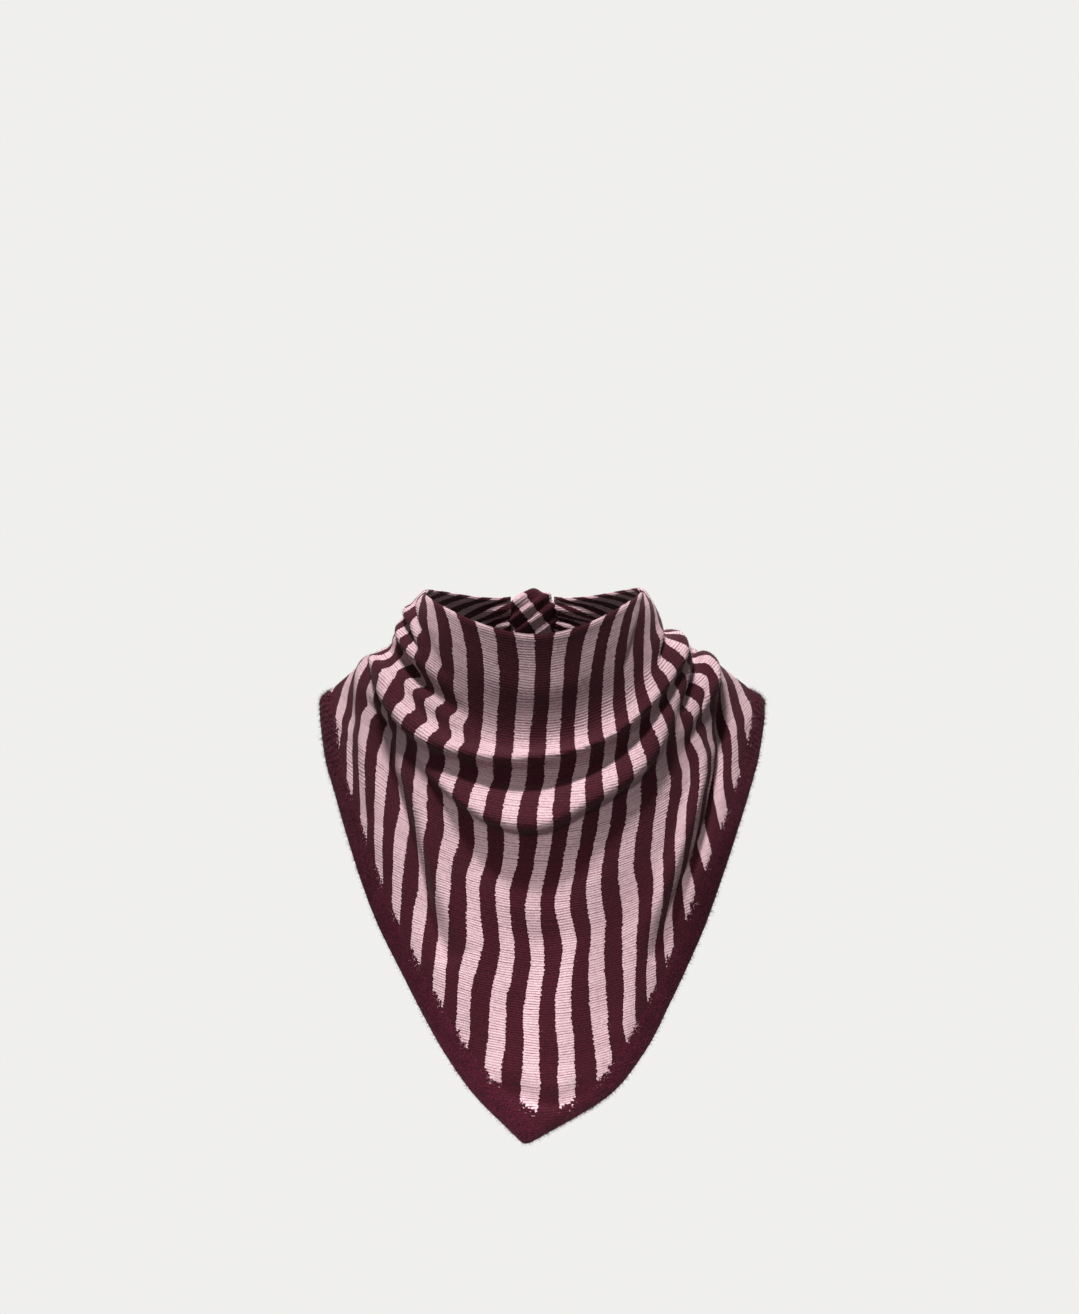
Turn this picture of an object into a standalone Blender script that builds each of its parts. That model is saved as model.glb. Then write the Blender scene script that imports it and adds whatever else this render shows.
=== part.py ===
"""Knitted triangular cashmere scarf, worn point forward and knotted behind the neck.

The flat cut is one isosceles triangle. Its long edge is the collar's rim and lies round the neck, its
point hangs down in front, and both ends pass over the shoulders to a small knot at the nape.
`across` runs along the long edge from the middle (the wearer's left is +X), `down` runs from the long
edge to the point. Every wall is modelled flat in these two coordinates, then draped.

Metres, +Z up, the front faces -Y. The origin is in the middle of the neck at shoulder height.
"""

import math
from collections import namedtuple

import bmesh
import bpy
import numpy as np
from mathutils import Vector

MM = 0.001

# Driving sizes of the flat cut, in millimetres.
LONG_EDGE = 640.0
HEIGHT = 305.0
BORDER = 14.0
WALL = 2.0
SEAM_GAP = 0.3
FLAT_GAP = 1.0  # between neighbours in the flat cloth, before bends and gathers narrow it
GRID_COLUMNS = 48  # grid columns from the middle to one end

HALF_EDGE = LONG_EDGE / 2
SLOPE = HEIGHT / HALF_EDGE
BORDER_DOWN = BORDER * math.hypot(1, SLOPE)
PANEL_HEIGHT = HEIGHT - BORDER_DOWN
PANEL_HALF = PANEL_HEIGHT / SLOPE
COLUMN = PANEL_HALF / GRID_COLUMNS
ROW = COLUMN * SLOPE

CORNER_DOWN = 120.0  # where the short edges cross the crest of the shoulders

# The point is turned under along a slanting line, here by a place on it and its tilt.
Bend = namedtuple("Bend", "x z tilt radius")
POINT_BEND = Bend(1, -220, 29, 4.4)

# The middle of the front, from rim to point.
Front = namedtuple("Front", "down x y z across")
FRONT_LINE = (
    Front(0, 2, -66, 34, -22),
    Front(30, 2, -69.5, 5, -22),
    Front(57, 2, -73, -21.5, -20),
    Front(75, 3, -82, -34, -18),
    Front(90, 4, -88.5, -45, -15),
    Front(105, 5, -94, -57, -12),
    Front(120, 6, -99, -69, -10),
    Front(150, 6, -106.5, -96, -6),
    Front(180, 6, -113, -124, -4),
    Front(210, 7, -119, -151.5, -3),
    Front(240, 7, -124, -179.5, -2),
    Front(270, 8, -128.5, -207, -1),
    Front(305, 7, -132, -239, 0),
)

# Each side, from rim to point: the crest over the shoulder down to CORNER_DOWN, then the outer edge.
Side = namedtuple("Side", "down x y z")
RIGHT_LINE = (
    Side(0, -60, -4, 57),
    Side(15, -66, -4, 49),
    Side(30, -71, -3, 41),
    Side(45, -76.5, -2, 32.5),
    Side(60, -83.5, 0, 24),
    Side(75, -92, 2, 18),
    Side(90, -100, 3, 11.5),
    Side(105, -108, 3, 4.5),
    Side(120, -115.5, -4, -4.5),
    Side(133, -112, -27, -29.5),
    Side(150, -105, -48, -51.5),
    Side(167, -97.5, -65, -74),
    Side(184, -89.5, -78.5, -96.5),
    Side(201, -80.5, -89, -118),
    Side(219, -69, -97.5, -140),
    Side(236, -57.5, -104.5, -161.5),
    Side(253, -45, -111, -183),
    Side(270, -29.8, -118, -203.5),
    Side(287, -11, -125, -221.5),
    Side(305, 7, -132, -239),
)
LEFT_LINE = (
    Side(0, 61, -4, 58),
    Side(15, 66, -4, 49.5),
    Side(30, 71, -3, 40),
    Side(45, 78.5, -2, 33),
    Side(60, 88, 0, 26),
    Side(75, 98, 2, 20),
    Side(90, 107.5, 3, 12.5),
    Side(105, 117, 3, 5),
    Side(120, 126.5, -4, -4.5),
    Side(133, 123, -27, -27),
    Side(150, 117, -48, -46.5),
    Side(167, 110, -65, -66),
    Side(184, 101.5, -78.5, -89.5),
    Side(201, 91.5, -89, -116),
    Side(219, 81.5, -97.5, -138),
    Side(236, 71.5, -104.5, -158),
    Side(253, 61, -111, -178),
    Side(270, 45.5, -118, -199),
    Side(287, 26.5, -125, -219.5),
    Side(305, 7, -132, -239),
)

# How square each level is in plan, how far round it turns, how steeply its sides rise, and how much of
# the tucks it has.
Level = namedtuple("Level", "down square turn rise tuck")
LEVELS = (
    Level(0, 2.4, 90, 1.8, 0),
    Level(30, 2.35, 90, 1.9, 0),
    Level(57, 2.2, 90, 2.1, 0),
    Level(75, 2.15, 88, 2.2, 0.1),
    Level(90, 2.1, 78, 2.2, 0.4),
    Level(105, 2.05, 62, 2.1, 0.8),
    Level(120, 2.0, 50, 2.0, 1),
    Level(150, 2.0, 44, 1.9, 1),
    Level(200, 2.0, 44, 1.7, 0.9),
    Level(250, 2.0, 46, 1.5, 0.3),
    Level(305, 2.0, 50, 1.5, 0),
)

# Cloth taken up by the long creases: how much more of a ring's cloth than of its length lies before a
# share of the way from the middle to the side.
Tuck = namedtuple("Tuck", "share width take")
RIGHT_TUCKS = (Tuck(0.5, 0.16, -0.02), Tuck(0.86, 0.1, 0.035))
LEFT_TUCKS = (Tuck(0.48, 0.17, -0.05), Tuck(0.8, 0.12, 0.04))


def column(table, field):
    """Returns one named column of a table as an array."""
    return np.array([getattr(row, field) for row in table], float)


def smooth(table, field, down):
    """Reads a named column at any depth below the rim, along a smooth curve through its rows."""
    knots = column(table, "down")
    values = column(table, field)
    slopes = np.gradient(values, knots)
    at = np.clip(down, knots[0], knots[-1])
    index = np.clip(np.searchsorted(knots, at, side="right") - 1, 0, len(knots) - 2)
    span = knots[index + 1] - knots[index]
    t = (at - knots[index]) / span
    return (
        values[index] * (1 + 2 * t) * (1 - t) ** 2
        + slopes[index] * span * t * (1 - t) ** 2
        + values[index + 1] * t**2 * (3 - 2 * t)
        + slopes[index + 1] * span * t**2 * (t - 1)
    )


# The cloth behind the crest of each shoulder, in flat coordinates: the crest and the throat of the knot,
# each at the rim and at the short edge.
Gather = namedtuple("Gather", "crest_rim crest_edge knot_rim knot_edge knot_down")
RIGHT_GATHER = Gather(104, 194, 200, 284, 34.3)
LEFT_GATHER = Gather(66, 194, 164, 284, 34.3)
CREST_BEND = 0.7  # under 1 where the crest's line bows outward in flat coordinates
FARTHEST_SHARE, HALVINGS = 1.3, 30  # of the search for a flat point's share of the way to the knot
KNOT_WIDTH, KNOT_DEPTH, KNOT_HEIGHT = 24.0, 22.0, 36.0
KNOT_Y, KNOT_Z = 74.0, 42.0
THROAT_Y = 69.0
THROAT_TOP, THROAT_BOTTOM = 56.0, 28.0
KNOT_ROUNDING, ROUNDING_STEPS = 7.5, 5
PLEATS, PLEAT_HEIGHT, PLEAT_GROWTH = 3, 2.2, 1.5

# How hard and which way the cloth is drawn as it leaves a shoulder's crest and as it reaches the knot.
Pull = namedtuple("Pull", "outward back up")
LEAVE_RIM, LEAVE_EDGE = Pull(0, 78, 18), Pull(0, 90, -14)
ARRIVE_RIM, ARRIVE_EDGE = Pull(-62, 8, 10), Pull(-102, 8, 6)

# Each free end below the knot.
END_LENGTH, END_LEAN = 56.0, 27.0
END_THROAT, END_SPREAD, END_TIP = 15.0, 11.0, 1.5
END_PLEAT, END_PLEATS, END_FLATTENING = 2.5, 1.6, 0.7
END_START_X, END_BACK = 9.5, 6.0
END_COLUMNS, END_ROWS = 8, 12

# Where the stretches of the panel meet, in grid columns and rows.
COLLAR_ROWS, COLLAR_RIGHT, COLLAR_LEFT = 11, 20, 14
BIB_COLUMNS = 17
BORDER_COLUMNS, BORDER_LANES = 46, 2

# A fold is a soft ridge (height above 0) or trough along a route of flat points, with its own width on
# the side towards the rim and on the side towards the point; drop hangs it over what lies below.
Fold = namedtuple("Fold", "name height above below drop route")
FOLDS = (
    Fold("collar foot", -2.5, 7, 8, 0, ((-103, 64), (-60, 67), (-9, 60), (37, 57), (62, 48))),
    Fold(
        "upper cowl", 7, 10, 6, 4,
        ((-150, 57), (-121, 72), (-94, 77), (-45, 72), (-9, 68), (45, 61), (76, 56), (112, 50), (130, 44)),
    ),
    Fold("upper valley", -4.5, 6, 8, 0, ((-100, 92), (-69, 89), (-13, 86), (37, 77), (79, 63))),
    Fold(
        "lower cowl", 7, 12, 7, 4,
        ((-90, 88), (-66, 99), (-37, 111), (-14, 112), (13, 101), (55, 87), (78, 73)),
    ),
    Fold("lower valley", -3.5, 8, 14, 0, ((-67, 126), (-30, 139), (-9, 142), (16, 132), (36, 117))),
    Fold("right long crease", -7, 9, 9, 0, ((-122, 88), (-106, 120), (-91, 140), (-73, 181), (-54, 206))),
    Fold("left long crease", -7.5, 9, 9, 0, ((150, 88), (130, 123), (114, 152), (84, 183), (61, 207))),
    Fold("right bib fold", 4.5, 10, 10, 0, ((-93, 106), (-81, 132), (-66, 165), (-48, 195))),
    Fold("left bib fold", 4.5, 10, 10, 0, ((104, 92), (96, 130), (78, 160), (56, 190))),
    Fold("right notch", -3.8, 7, 7, 0, ((-172, 44), (-144, 51), (-109, 51), (-86, 49))),
    Fold("right upper buckle", -3, 7, 7, 0, ((-132, 22), (-112, 32), (-84, 34))),
    Fold("right lower buckle", 3, 6, 6, 0, ((-140, 36), (-112, 41), (-88, 42))),
    Fold("left deep crease", -5, 6, 7, 0, ((160, 46), (138, 58), (105, 75), (90, 84))),
    Fold("left shoulder ridge", 3, 8, 8, 0, ((168, 56), (140, 74), (126, 92), (118, 110))),
    Fold("left nape crease", -4, 6, 6, 0, ((150, 26), (118, 34), (96, 38))),
    Fold("right shoulder ridge", 3, 9, 9, 0, ((-176, 60), (-152, 84), (-134, 118), (-122, 142))),
    Fold("point trough", -3, 5, 5, 0, ((-27, 261), (-9, 266), (4, 268), (19, 263))),
    Fold("bib ripple 1", 1.6, 9, 9, 0, ((-38, 152), (-42, 200), (-40, 238))),
    Fold("bib ripple 2", -1.6, 9, 9, 0, ((-12, 165), (-14, 210), (-18, 246))),
    Fold("bib ripple 3", 1.6, 9, 9, 0, ((14, 160), (12, 210), (8, 250))),
    Fold("bib ripple 4", -1.6, 9, 9, 0, ((40, 150), (38, 200), (32, 240))),
)
ROUTE_POINTS = 33
TAPER, TAPER_LEFT = 0.6, 0.005  # how a fold fades to its ends, and the share of its route where it stops
SNAP = 0.02
TINY = 0.0001
SHARPEST_MITRE = 0.3

RINGS = 306
RING_POINTS = 201
FLAT_STEP = 0.5  # distance to the neighbours that a normal is measured from


def edge_across(down):
    """Returns half the width of the flat triangle at a depth below its long edge."""
    return (HEIGHT - down) / SLOPE


def crest_across(gather, rank):
    """Returns where a shoulder's crest lies in the flat cloth, from 0 at the rim to 1 at the short edge."""
    return gather.crest_rim + (gather.crest_edge - gather.crest_rim) * rank**CREST_BEND


def end_across(gather, down):
    """Returns how far from the middle a ring runs: to the shoulder's crest, or to the short edge."""
    share = np.clip(down / CORNER_DOWN, 0, 1)
    return np.where(down < CORNER_DOWN, crest_across(gather, share), edge_across(down))


def half_ring(down, line):
    """Returns points from the middle of the front round to one side, at one depth below the rim."""
    square = smooth(LEVELS, "square", down)
    turn = math.radians(smooth(LEVELS, "turn", down))
    rise = smooth(LEVELS, "rise", down)
    front = np.array([smooth(FRONT_LINE, axis, down) for axis in "xyz"])
    side = np.array([smooth(line, axis, down) for axis in "xyz"])
    angle = turn * np.linspace(0, 1, RING_POINTS)
    reach = np.sin(angle) ** (2 / square) / math.sin(turn) ** (2 / square)
    depth = 1 - np.clip(np.cos(angle), 0, 1) ** (2 / square)
    depth /= depth[-1]
    shares = np.stack([reach, depth, reach**rise], axis=1)
    return front + (side - front) * shares


def share_along(points):
    """Returns the share of a line's length at each of its points."""
    steps = np.linalg.norm(np.diff(points, axis=0), axis=1)
    lengths = np.concatenate([[0], np.cumsum(steps)])
    return lengths / lengths[-1]


def taken_up(shares, tucks):
    """Returns how much the share of a ring's cloth differs from the share of its length."""
    extra = sum(tuck.take * np.exp(-(((shares - tuck.share) / tuck.width) ** 2)) for tuck in tucks)
    return extra - extra[0] - (extra[-1] - extra[0]) * shares


def front_rings():
    """Returns, for each depth, a ring from crest to crest and the flat coordinate of its points."""
    rings, acrosses = [], []
    for down in np.linspace(0, HEIGHT - FLAT_STEP, RINGS):
        right = half_ring(down, RIGHT_LINE)
        left = half_ring(down, LEFT_LINE)
        middle = smooth(FRONT_LINE, "across", down)
        tuck = smooth(LEVELS, "tuck", down)
        right_share, left_share = share_along(right), share_along(left)
        right_share = right_share + tuck * taken_up(right_share, RIGHT_TUCKS)
        left_share = left_share + tuck * taken_up(left_share, LEFT_TUCKS)
        right_across = middle - (end_across(RIGHT_GATHER, down) + middle) * right_share
        left_across = middle + (end_across(LEFT_GATHER, down) - middle) * left_share
        rings.append(np.concatenate([right[::-1], left[1:]]))
        acrosses.append(np.concatenate([right_across[::-1], left_across[1:]]))
    return np.array(rings), np.array(acrosses)


RING_TABLE, ACROSS_TABLE = front_rings()


def on_ring(row, across):
    """Reads the ring of one row at flat coordinates."""
    points = RING_TABLE[row]
    return np.stack([np.interp(across, ACROSS_TABLE[row], points[:, axis]) for axis in range(3)], axis=1)


def front_drape(across, down):
    """Places flat points of the front and the sides, up to the crests of the shoulders."""
    place = np.clip(down / (HEIGHT - FLAT_STEP), 0, 1) * (RINGS - 1)
    lower = np.minimum(place.astype(int), RINGS - 2)
    share = (place - lower)[:, None]
    result = np.empty((len(across), 3))
    for row in np.unique(lower):
        chosen = lower == row
        at = across[chosen]
        result[chosen] = on_ring(row, at) * (1 - share[chosen]) + on_ring(row + 1, at) * share[chosen]
    return result


def gather_shares(gather, across, down):
    """Returns, for points behind a crest, their share from rim to short edge and from crest to knot."""
    reach = np.abs(across)
    low, high = np.zeros_like(reach), np.full_like(reach, FARTHEST_SHARE)
    for _ in range(HALVINGS):
        along = (low + high) / 2
        rank = down / (CORNER_DOWN + (gather.knot_down - CORNER_DOWN) * along)
        crest = crest_across(gather, rank)
        knot = gather.knot_rim + (gather.knot_edge - gather.knot_rim) * rank
        past = crest + (knot - crest) * along > reach
        low, high = np.where(past, low, along), np.where(past, along, high)
    return np.minimum(rank, 1), along


def drawn(sign, at_rim, at_edge, rank):
    """Returns the pull on the cloth of one side, between its rim and its short edge."""
    pull = np.array(at_rim, float) + rank[:, None] * np.subtract(at_edge, at_rim)
    pull[:, 0] *= sign
    return pull


def back_drape(gather, across, down):
    """Places flat points behind the crest of one shoulder, gathered towards the knot."""
    sign = np.sign(across)
    rank, along = gather_shares(gather, across, down)
    start = front_drape(sign * crest_across(gather, rank), CORNER_DOWN * rank)
    throat_x = sign * (KNOT_WIDTH / 2 + SEAM_GAP)
    throat_z = THROAT_TOP + (THROAT_BOTTOM - THROAT_TOP) * rank
    finish = np.stack([throat_x, np.full_like(rank, THROAT_Y), throat_z], axis=1)
    leave = drawn(sign, LEAVE_RIM, LEAVE_EDGE, rank)
    arrive = drawn(sign, ARRIVE_RIM, ARRIVE_EDGE, rank)
    t = along[:, None]
    place = start * (1 + 2 * t) * (1 - t) ** 2 + leave * t * (1 - t) ** 2
    place += finish * t**2 * (3 - 2 * t) + arrive * t**2 * (t - 1)
    return place


def base_drape(across, down):
    """Places flat points on the worn form, before its folds."""
    result = front_drape(across, down)
    for gather, sign in ((RIGHT_GATHER, -1), (LEFT_GATHER, 1)):
        behind = (down < CORNER_DOWN) & (sign * across > end_across(gather, down))
        if behind.any():
            result[behind] = back_drape(gather, across[behind], down[behind])
    return result


def frame_at(across, down):
    """Returns places, outward normals and downward directions of flat points on the worn form."""
    place = base_drape(across, down)
    down = np.clip(down, FLAT_STEP, HEIGHT - 4 * FLAT_STEP)
    reach = edge_across(down + FLAT_STEP) - FLAT_STEP
    across = np.clip(across, -reach, reach)
    sideways = base_drape(across + FLAT_STEP, down) - base_drape(across - FLAT_STEP, down)
    downward = base_drape(across, down + FLAT_STEP) - base_drape(across, down - FLAT_STEP)
    normal = np.cross(downward, sideways)
    normal /= np.linalg.norm(normal, axis=1, keepdims=True)
    downward /= np.linalg.norm(downward, axis=1, keepdims=True)
    return place, normal, downward


def route_line(points):
    """Returns a smooth line of flat points through a fold's route."""
    points = np.array(points, float)
    knots = share_along(points)
    slopes = np.stack([np.gradient(points[:, axis], knots) for axis in range(2)], axis=1)
    at = np.linspace(0, 1, ROUTE_POINTS)
    index = np.clip(np.searchsorted(knots, at, side="right") - 1, 0, len(knots) - 2)
    span = (knots[index + 1] - knots[index])[:, None]
    t = (at - knots[index])[:, None] / span
    line = points[index] * (1 + 2 * t) * (1 - t) ** 2 + slopes[index] * span * t * (1 - t) ** 2
    line += points[index + 1] * t**2 * (3 - 2 * t) + slopes[index + 1] * span * t**2 * (t - 1)
    return line


def fold_share(fold, across, down):
    """Returns how strongly a fold lifts each flat point: 1 on its line, fading to its ends and sides."""
    line = route_line(fold.route)
    flat = np.stack([across, down], axis=1)
    gap = flat[:, None, :] - line[None]
    nearest = np.hypot(gap[..., 0], gap[..., 1]).argmin(axis=1)
    share, closest = np.zeros(len(flat)), np.full(len(flat), np.inf)
    for start in (np.maximum(nearest - 1, 0), np.minimum(nearest, ROUTE_POINTS - 2)):
        heading = line[start + 1] - line[start]
        length = np.hypot(heading[:, 0], heading[:, 1])
        reach = ((flat - line[start]) * heading).sum(axis=1) / length**2
        step = np.clip(reach, 0, 1)
        offset = flat - line[start] - step[:, None] * heading
        distance = np.maximum(np.hypot(offset[:, 0], offset[:, 1]), TINY)
        side = heading[:, 0] * offset[:, 1] - heading[:, 1] * offset[:, 0]
        side *= np.sign(heading[:, 0]) / (length * distance)
        width = fold.above + (fold.below - fold.above) * (1 + side) / 2
        along = np.clip((start + step) / (ROUTE_POINTS - 1), TAPER_LEFT, 1 - TAPER_LEFT)
        here = np.sin(math.pi * along) ** TAPER * np.exp(-((distance / width) ** 2))
        share = np.where(distance < closest, here, share)
        closest = np.minimum(closest, distance)
    return share


def pleat_lift(across, down):
    """Returns the height of the pleats that run into the knot on each side."""
    lift = np.zeros_like(across)
    for gather, sign in ((RIGHT_GATHER, -1), (LEFT_GATHER, 1)):
        behind = (down < CORNER_DOWN) & (sign * across > end_across(gather, down))
        if behind.any():
            rank, along = gather_shares(gather, across[behind], down[behind])
            wave = np.sin(2 * math.pi * PLEATS * rank) * np.sin(math.pi * rank)
            lift[behind] = PLEAT_HEIGHT * wave * np.clip(along, 0, 1) ** PLEAT_GROWTH
    return lift


def turn_point_under(place):
    """Rolls what lies beyond the bend at the point to the back."""
    tilt = math.radians(POINT_BEND.tilt)
    radius = POINT_BEND.radius
    beyond = (place[:, 0] - POINT_BEND.x) * math.sin(tilt) - (place[:, 2] - POINT_BEND.z) * math.cos(tilt)
    over = np.maximum(beyond, 0)
    angle = np.minimum(over / radius, math.pi)
    shift = radius * np.sin(angle) - (over - radius * angle) - over
    result = place.copy()
    result[:, 0] += shift * math.sin(tilt)
    result[:, 1] += radius * (1 - np.cos(angle))
    result[:, 2] -= shift * math.cos(tilt)
    return result


def middle_drape(across, down):
    """Places flat points, in millimetres, on the middle of the worn cloth."""
    place, normal, downward = frame_at(across, down)
    for fold in FOLDS:
        share = fold_share(fold, across, down)[:, None]
        place = place + share * (fold.height * normal + fold.drop * downward)
    place = place + pleat_lift(across, down)[:, None] * normal
    return turn_point_under(place)


def drape(across, down, lift):
    """Places points of the flat cloth, each at a height above its middle, in the worn form."""
    place = middle_drape(across, down)
    inside = np.clip(down, WALL, HEIGHT - 2 * WALL)
    reach = edge_across(inside + WALL / 2) - WALL / 2
    near = np.clip(across, -reach, reach)
    sideways = middle_drape(near + WALL / 2, inside) - middle_drape(near - WALL / 2, inside)
    downward = middle_drape(near, inside + WALL / 2) - middle_drape(near, inside - WALL / 2)
    normal = np.cross(downward, sideways)
    normal /= np.linalg.norm(normal, axis=1, keepdims=True)
    return place + lift[:, None] * normal


def shrink_seams(mesh, amount):
    """Moves the open edges of a flat mesh inwards, so that neighbouring pieces stay apart."""
    moves = {}
    for vertex in mesh.verts:
        inward = []
        for edge in vertex.link_edges:
            if edge.is_boundary:
                along = edge.verts[1].co - edge.verts[0].co
                normal = Vector((-along.y, along.x, 0)).normalized()
                to_face = edge.link_faces[0].calc_center_median() - edge.verts[0].co
                inward.append(normal if normal.dot(to_face) > 0 else -normal)
        if inward:
            both = inward[0] + inward[-1]
            moves[vertex] = both * amount / max(1 + inward[0].dot(inward[-1]), SHARPEST_MITRE)
    for vertex, move in moves.items():
        vertex.co += move


def cut_flat(mesh, start, end):
    """Cuts a flat mesh along a line and clears the side away from the middle of the long edge."""
    along = Vector((end[0] - start[0], end[1] - start[1], 0))
    outward = Vector((along.y, -along.x, 0))
    if outward.x * start[0] + outward.y * start[1] < 0:
        outward = -outward
    bmesh.ops.bisect_plane(
        mesh,
        geom=mesh.verts[:] + mesh.edges[:] + mesh.faces[:],
        dist=SNAP,
        plane_co=Vector((start[0], start[1], 0)),
        plane_no=outward,
        clear_outer=True,
    )


def cut_at_knot(mesh):
    """Ends a flat mesh at the throats of the knot."""
    for gather, sign in ((RIGHT_GATHER, -1), (LEFT_GATHER, 1)):
        cut_flat(mesh, (sign * gather.knot_rim, 0), (sign * gather.knot_edge, gather.knot_down))


def flat_panel(columns, rows):
    """Returns a flat piece of the striped panel between two grid columns and two grid rows."""
    mesh = bmesh.new()
    bmesh.ops.create_grid(mesh, x_segments=columns[1] - columns[0], y_segments=rows[1] - rows[0], size=0.5)
    for vertex in mesh.verts:
        vertex.co.x = (columns[0] + (vertex.co.x + 0.5) * (columns[1] - columns[0])) * COLUMN
        vertex.co.y = (rows[0] + (vertex.co.y + 0.5) * (rows[1] - rows[0])) * ROW
    for sign in (-1, 1):
        cut_flat(mesh, (0, PANEL_HEIGHT), (sign * PANEL_HALF, 0))
    return mesh


def flat_border(sign, columns):
    """Returns a flat run of the border, mitred at the point."""
    mesh = bmesh.new()
    bmesh.ops.create_grid(mesh, x_segments=columns, y_segments=BORDER_LANES, size=0.5)
    for vertex in mesh.verts:
        place = (vertex.co.x + 0.5) * columns
        width = vertex.co.y + 0.5
        half = PANEL_HALF + (HALF_EDGE - PANEL_HALF) * width
        vertex.co.x = sign * place / GRID_COLUMNS * half
        vertex.co.y = (1 - place / GRID_COLUMNS) * half * SLOPE
    return mesh


def coloured(name, colour, roughness):
    """Returns a cloth material."""
    material = bpy.data.materials.new(name)
    material.use_nodes = True
    shader = material.node_tree.nodes["Principled BSDF"]
    shader.inputs["Base Color"].default_value = (*colour, 1)
    shader.inputs["Roughness"].default_value = roughness
    shader.inputs["Metallic"].default_value = 0
    return material


def add_piece(collection, name, mesh, material):
    """Makes a finished mesh into an object of the scarf."""
    bmesh.ops.recalc_face_normals(mesh, faces=mesh.faces)
    if mesh.calc_volume(signed=True) < 0:
        bmesh.ops.reverse_faces(mesh, faces=mesh.faces)
    data = bpy.data.meshes.new(name)
    mesh.to_mesh(data)
    mesh.free()
    data.shade_smooth()
    data.materials.append(material)
    piece = bpy.data.objects.new(name, data)
    collection.objects.link(piece)
    return piece


def add_draped(collection, name, mesh, material):
    """Gives a flat piece its wall and drapes it on the worn form."""
    cut_at_knot(mesh)
    shrink_seams(mesh, FLAT_GAP / 2)
    inner = mesh.verts[:]
    wall = bmesh.ops.extrude_face_region(mesh, geom=mesh.faces[:], use_keep_orig=True)
    outer = [item for item in wall["geom"] if isinstance(item, bmesh.types.BMVert)]
    for vertices, lift in ((inner, -WALL / 2), (outer, WALL / 2)):
        flat = np.array([vertex.co[:] for vertex in vertices])
        places = drape(flat[:, 0], flat[:, 1], np.full(len(flat), lift)) * MM
        for vertex, place in zip(vertices, places):
            vertex.co = place
    add_piece(collection, name, mesh, material)


def add_knot(collection, material):
    """Makes the wound body of the knot as one rounded solid."""
    bpy.ops.mesh.primitive_cube_add(size=1, location=(0, KNOT_Y * MM, KNOT_Z * MM))
    knot = bpy.context.object
    knot.name = knot.data.name = "knot"
    for vertex in knot.data.vertices:
        vertex.co *= Vector((KNOT_WIDTH, KNOT_DEPTH, KNOT_HEIGHT)) * MM
    rounding = knot.modifiers.new("rounding", "BEVEL")
    rounding.width = KNOT_ROUNDING * MM
    rounding.segments = ROUNDING_STEPS
    knot.data.shade_smooth()
    knot.data.materials.append(material)
    for holder in knot.users_collection:
        holder.objects.unlink(knot)
    collection.objects.link(knot)


def add_end(collection, name, sign, material):
    """Makes one short free end, which leaves the knot gathered, opens out and runs to its tip."""
    mesh = bmesh.new()
    bmesh.ops.create_grid(mesh, x_segments=END_COLUMNS, y_segments=END_ROWS, size=0.5)
    lean = math.radians(END_LEAN)
    top = KNOT_Z - KNOT_HEIGHT / 2 - SEAM_GAP
    for vertex in mesh.verts:
        across = vertex.co.x * 2
        along = vertex.co.y + 0.5
        half = END_THROAT / 2 * (1 - along) + END_SPREAD * math.sin(math.pi * along**0.8) + END_TIP * along
        pleat = END_PLEAT * math.cos(END_PLEATS * math.pi * across) * (1 - END_FLATTENING * along)
        x = END_START_X + END_LENGTH * along * math.sin(lean) + half * across * math.cos(lean)
        y = KNOT_Y + END_BACK * along + pleat
        z = top - END_LENGTH * along * math.cos(lean)
        z += half * across * math.sin(lean) * min(1, 4 * along)  # level along the throat
        vertex.co = Vector((sign * x, y, z)) * MM
    piece = add_piece(collection, name, mesh, material)
    wall = piece.modifiers.new("wall", "SOLIDIFY")
    wall.thickness = WALL * MM
    wall.offset = 0


def main():
    """Builds every stretch of the worn scarf."""
    for item in list(bpy.data.objects):
        bpy.data.objects.remove(item)
    collection = bpy.data.collections.new("cashmere_scarf")
    bpy.context.scene.collection.children.link(collection)
    striped = coloured("striped knit", (0.55, 0.28, 0.33), 0.9)
    plain = coloured("border knit", (0.12, 0.012, 0.035), 0.92)
    stretches = {
        "collar": ((-COLLAR_RIGHT, COLLAR_LEFT), (0, COLLAR_ROWS)),
        "bib": ((-BIB_COLUMNS, BIB_COLUMNS), (COLLAR_ROWS, GRID_COLUMNS)),
        "shoulder_right": ((-GRID_COLUMNS, -BIB_COLUMNS), (COLLAR_ROWS, GRID_COLUMNS)),
        "shoulder_left": ((BIB_COLUMNS, GRID_COLUMNS), (COLLAR_ROWS, GRID_COLUMNS)),
        "nape_right": ((-GRID_COLUMNS, -COLLAR_RIGHT), (0, COLLAR_ROWS)),
        "nape_left": ((COLLAR_LEFT, GRID_COLUMNS), (0, COLLAR_ROWS)),
    }
    for name, (columns, rows) in stretches.items():
        add_draped(collection, name, flat_panel(columns, rows), striped)
    for name, sign in (("border_right", -1), ("border_left", 1)):
        add_draped(collection, name, flat_border(sign, BORDER_COLUMNS), plain)
    add_knot(collection, striped)
    for name, sign in (("end_right", -1), ("end_left", 1)):
        add_end(collection, name, sign, striped)


if __name__ == "__main__":
    main()
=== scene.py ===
"""Looks of a knitted triangular cashmere scarf, worn point forward and tied behind the neck.

The whole scarf is one flat knitted triangle. `across` runs along its long edge from the middle (the
wearer's left is positive) and `down` runs from the long edge to the point, both in millimetres. Every
stretch of cloth is cut flat in these two coordinates, keeps them as its UV map in metres, and is then
draped, so the knitted stripes follow the cloth through every fold.
"""

import logging
import math
from collections.abc import Callable
from dataclasses import dataclass, field
from enum import Enum
from typing import NamedTuple, Union

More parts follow.
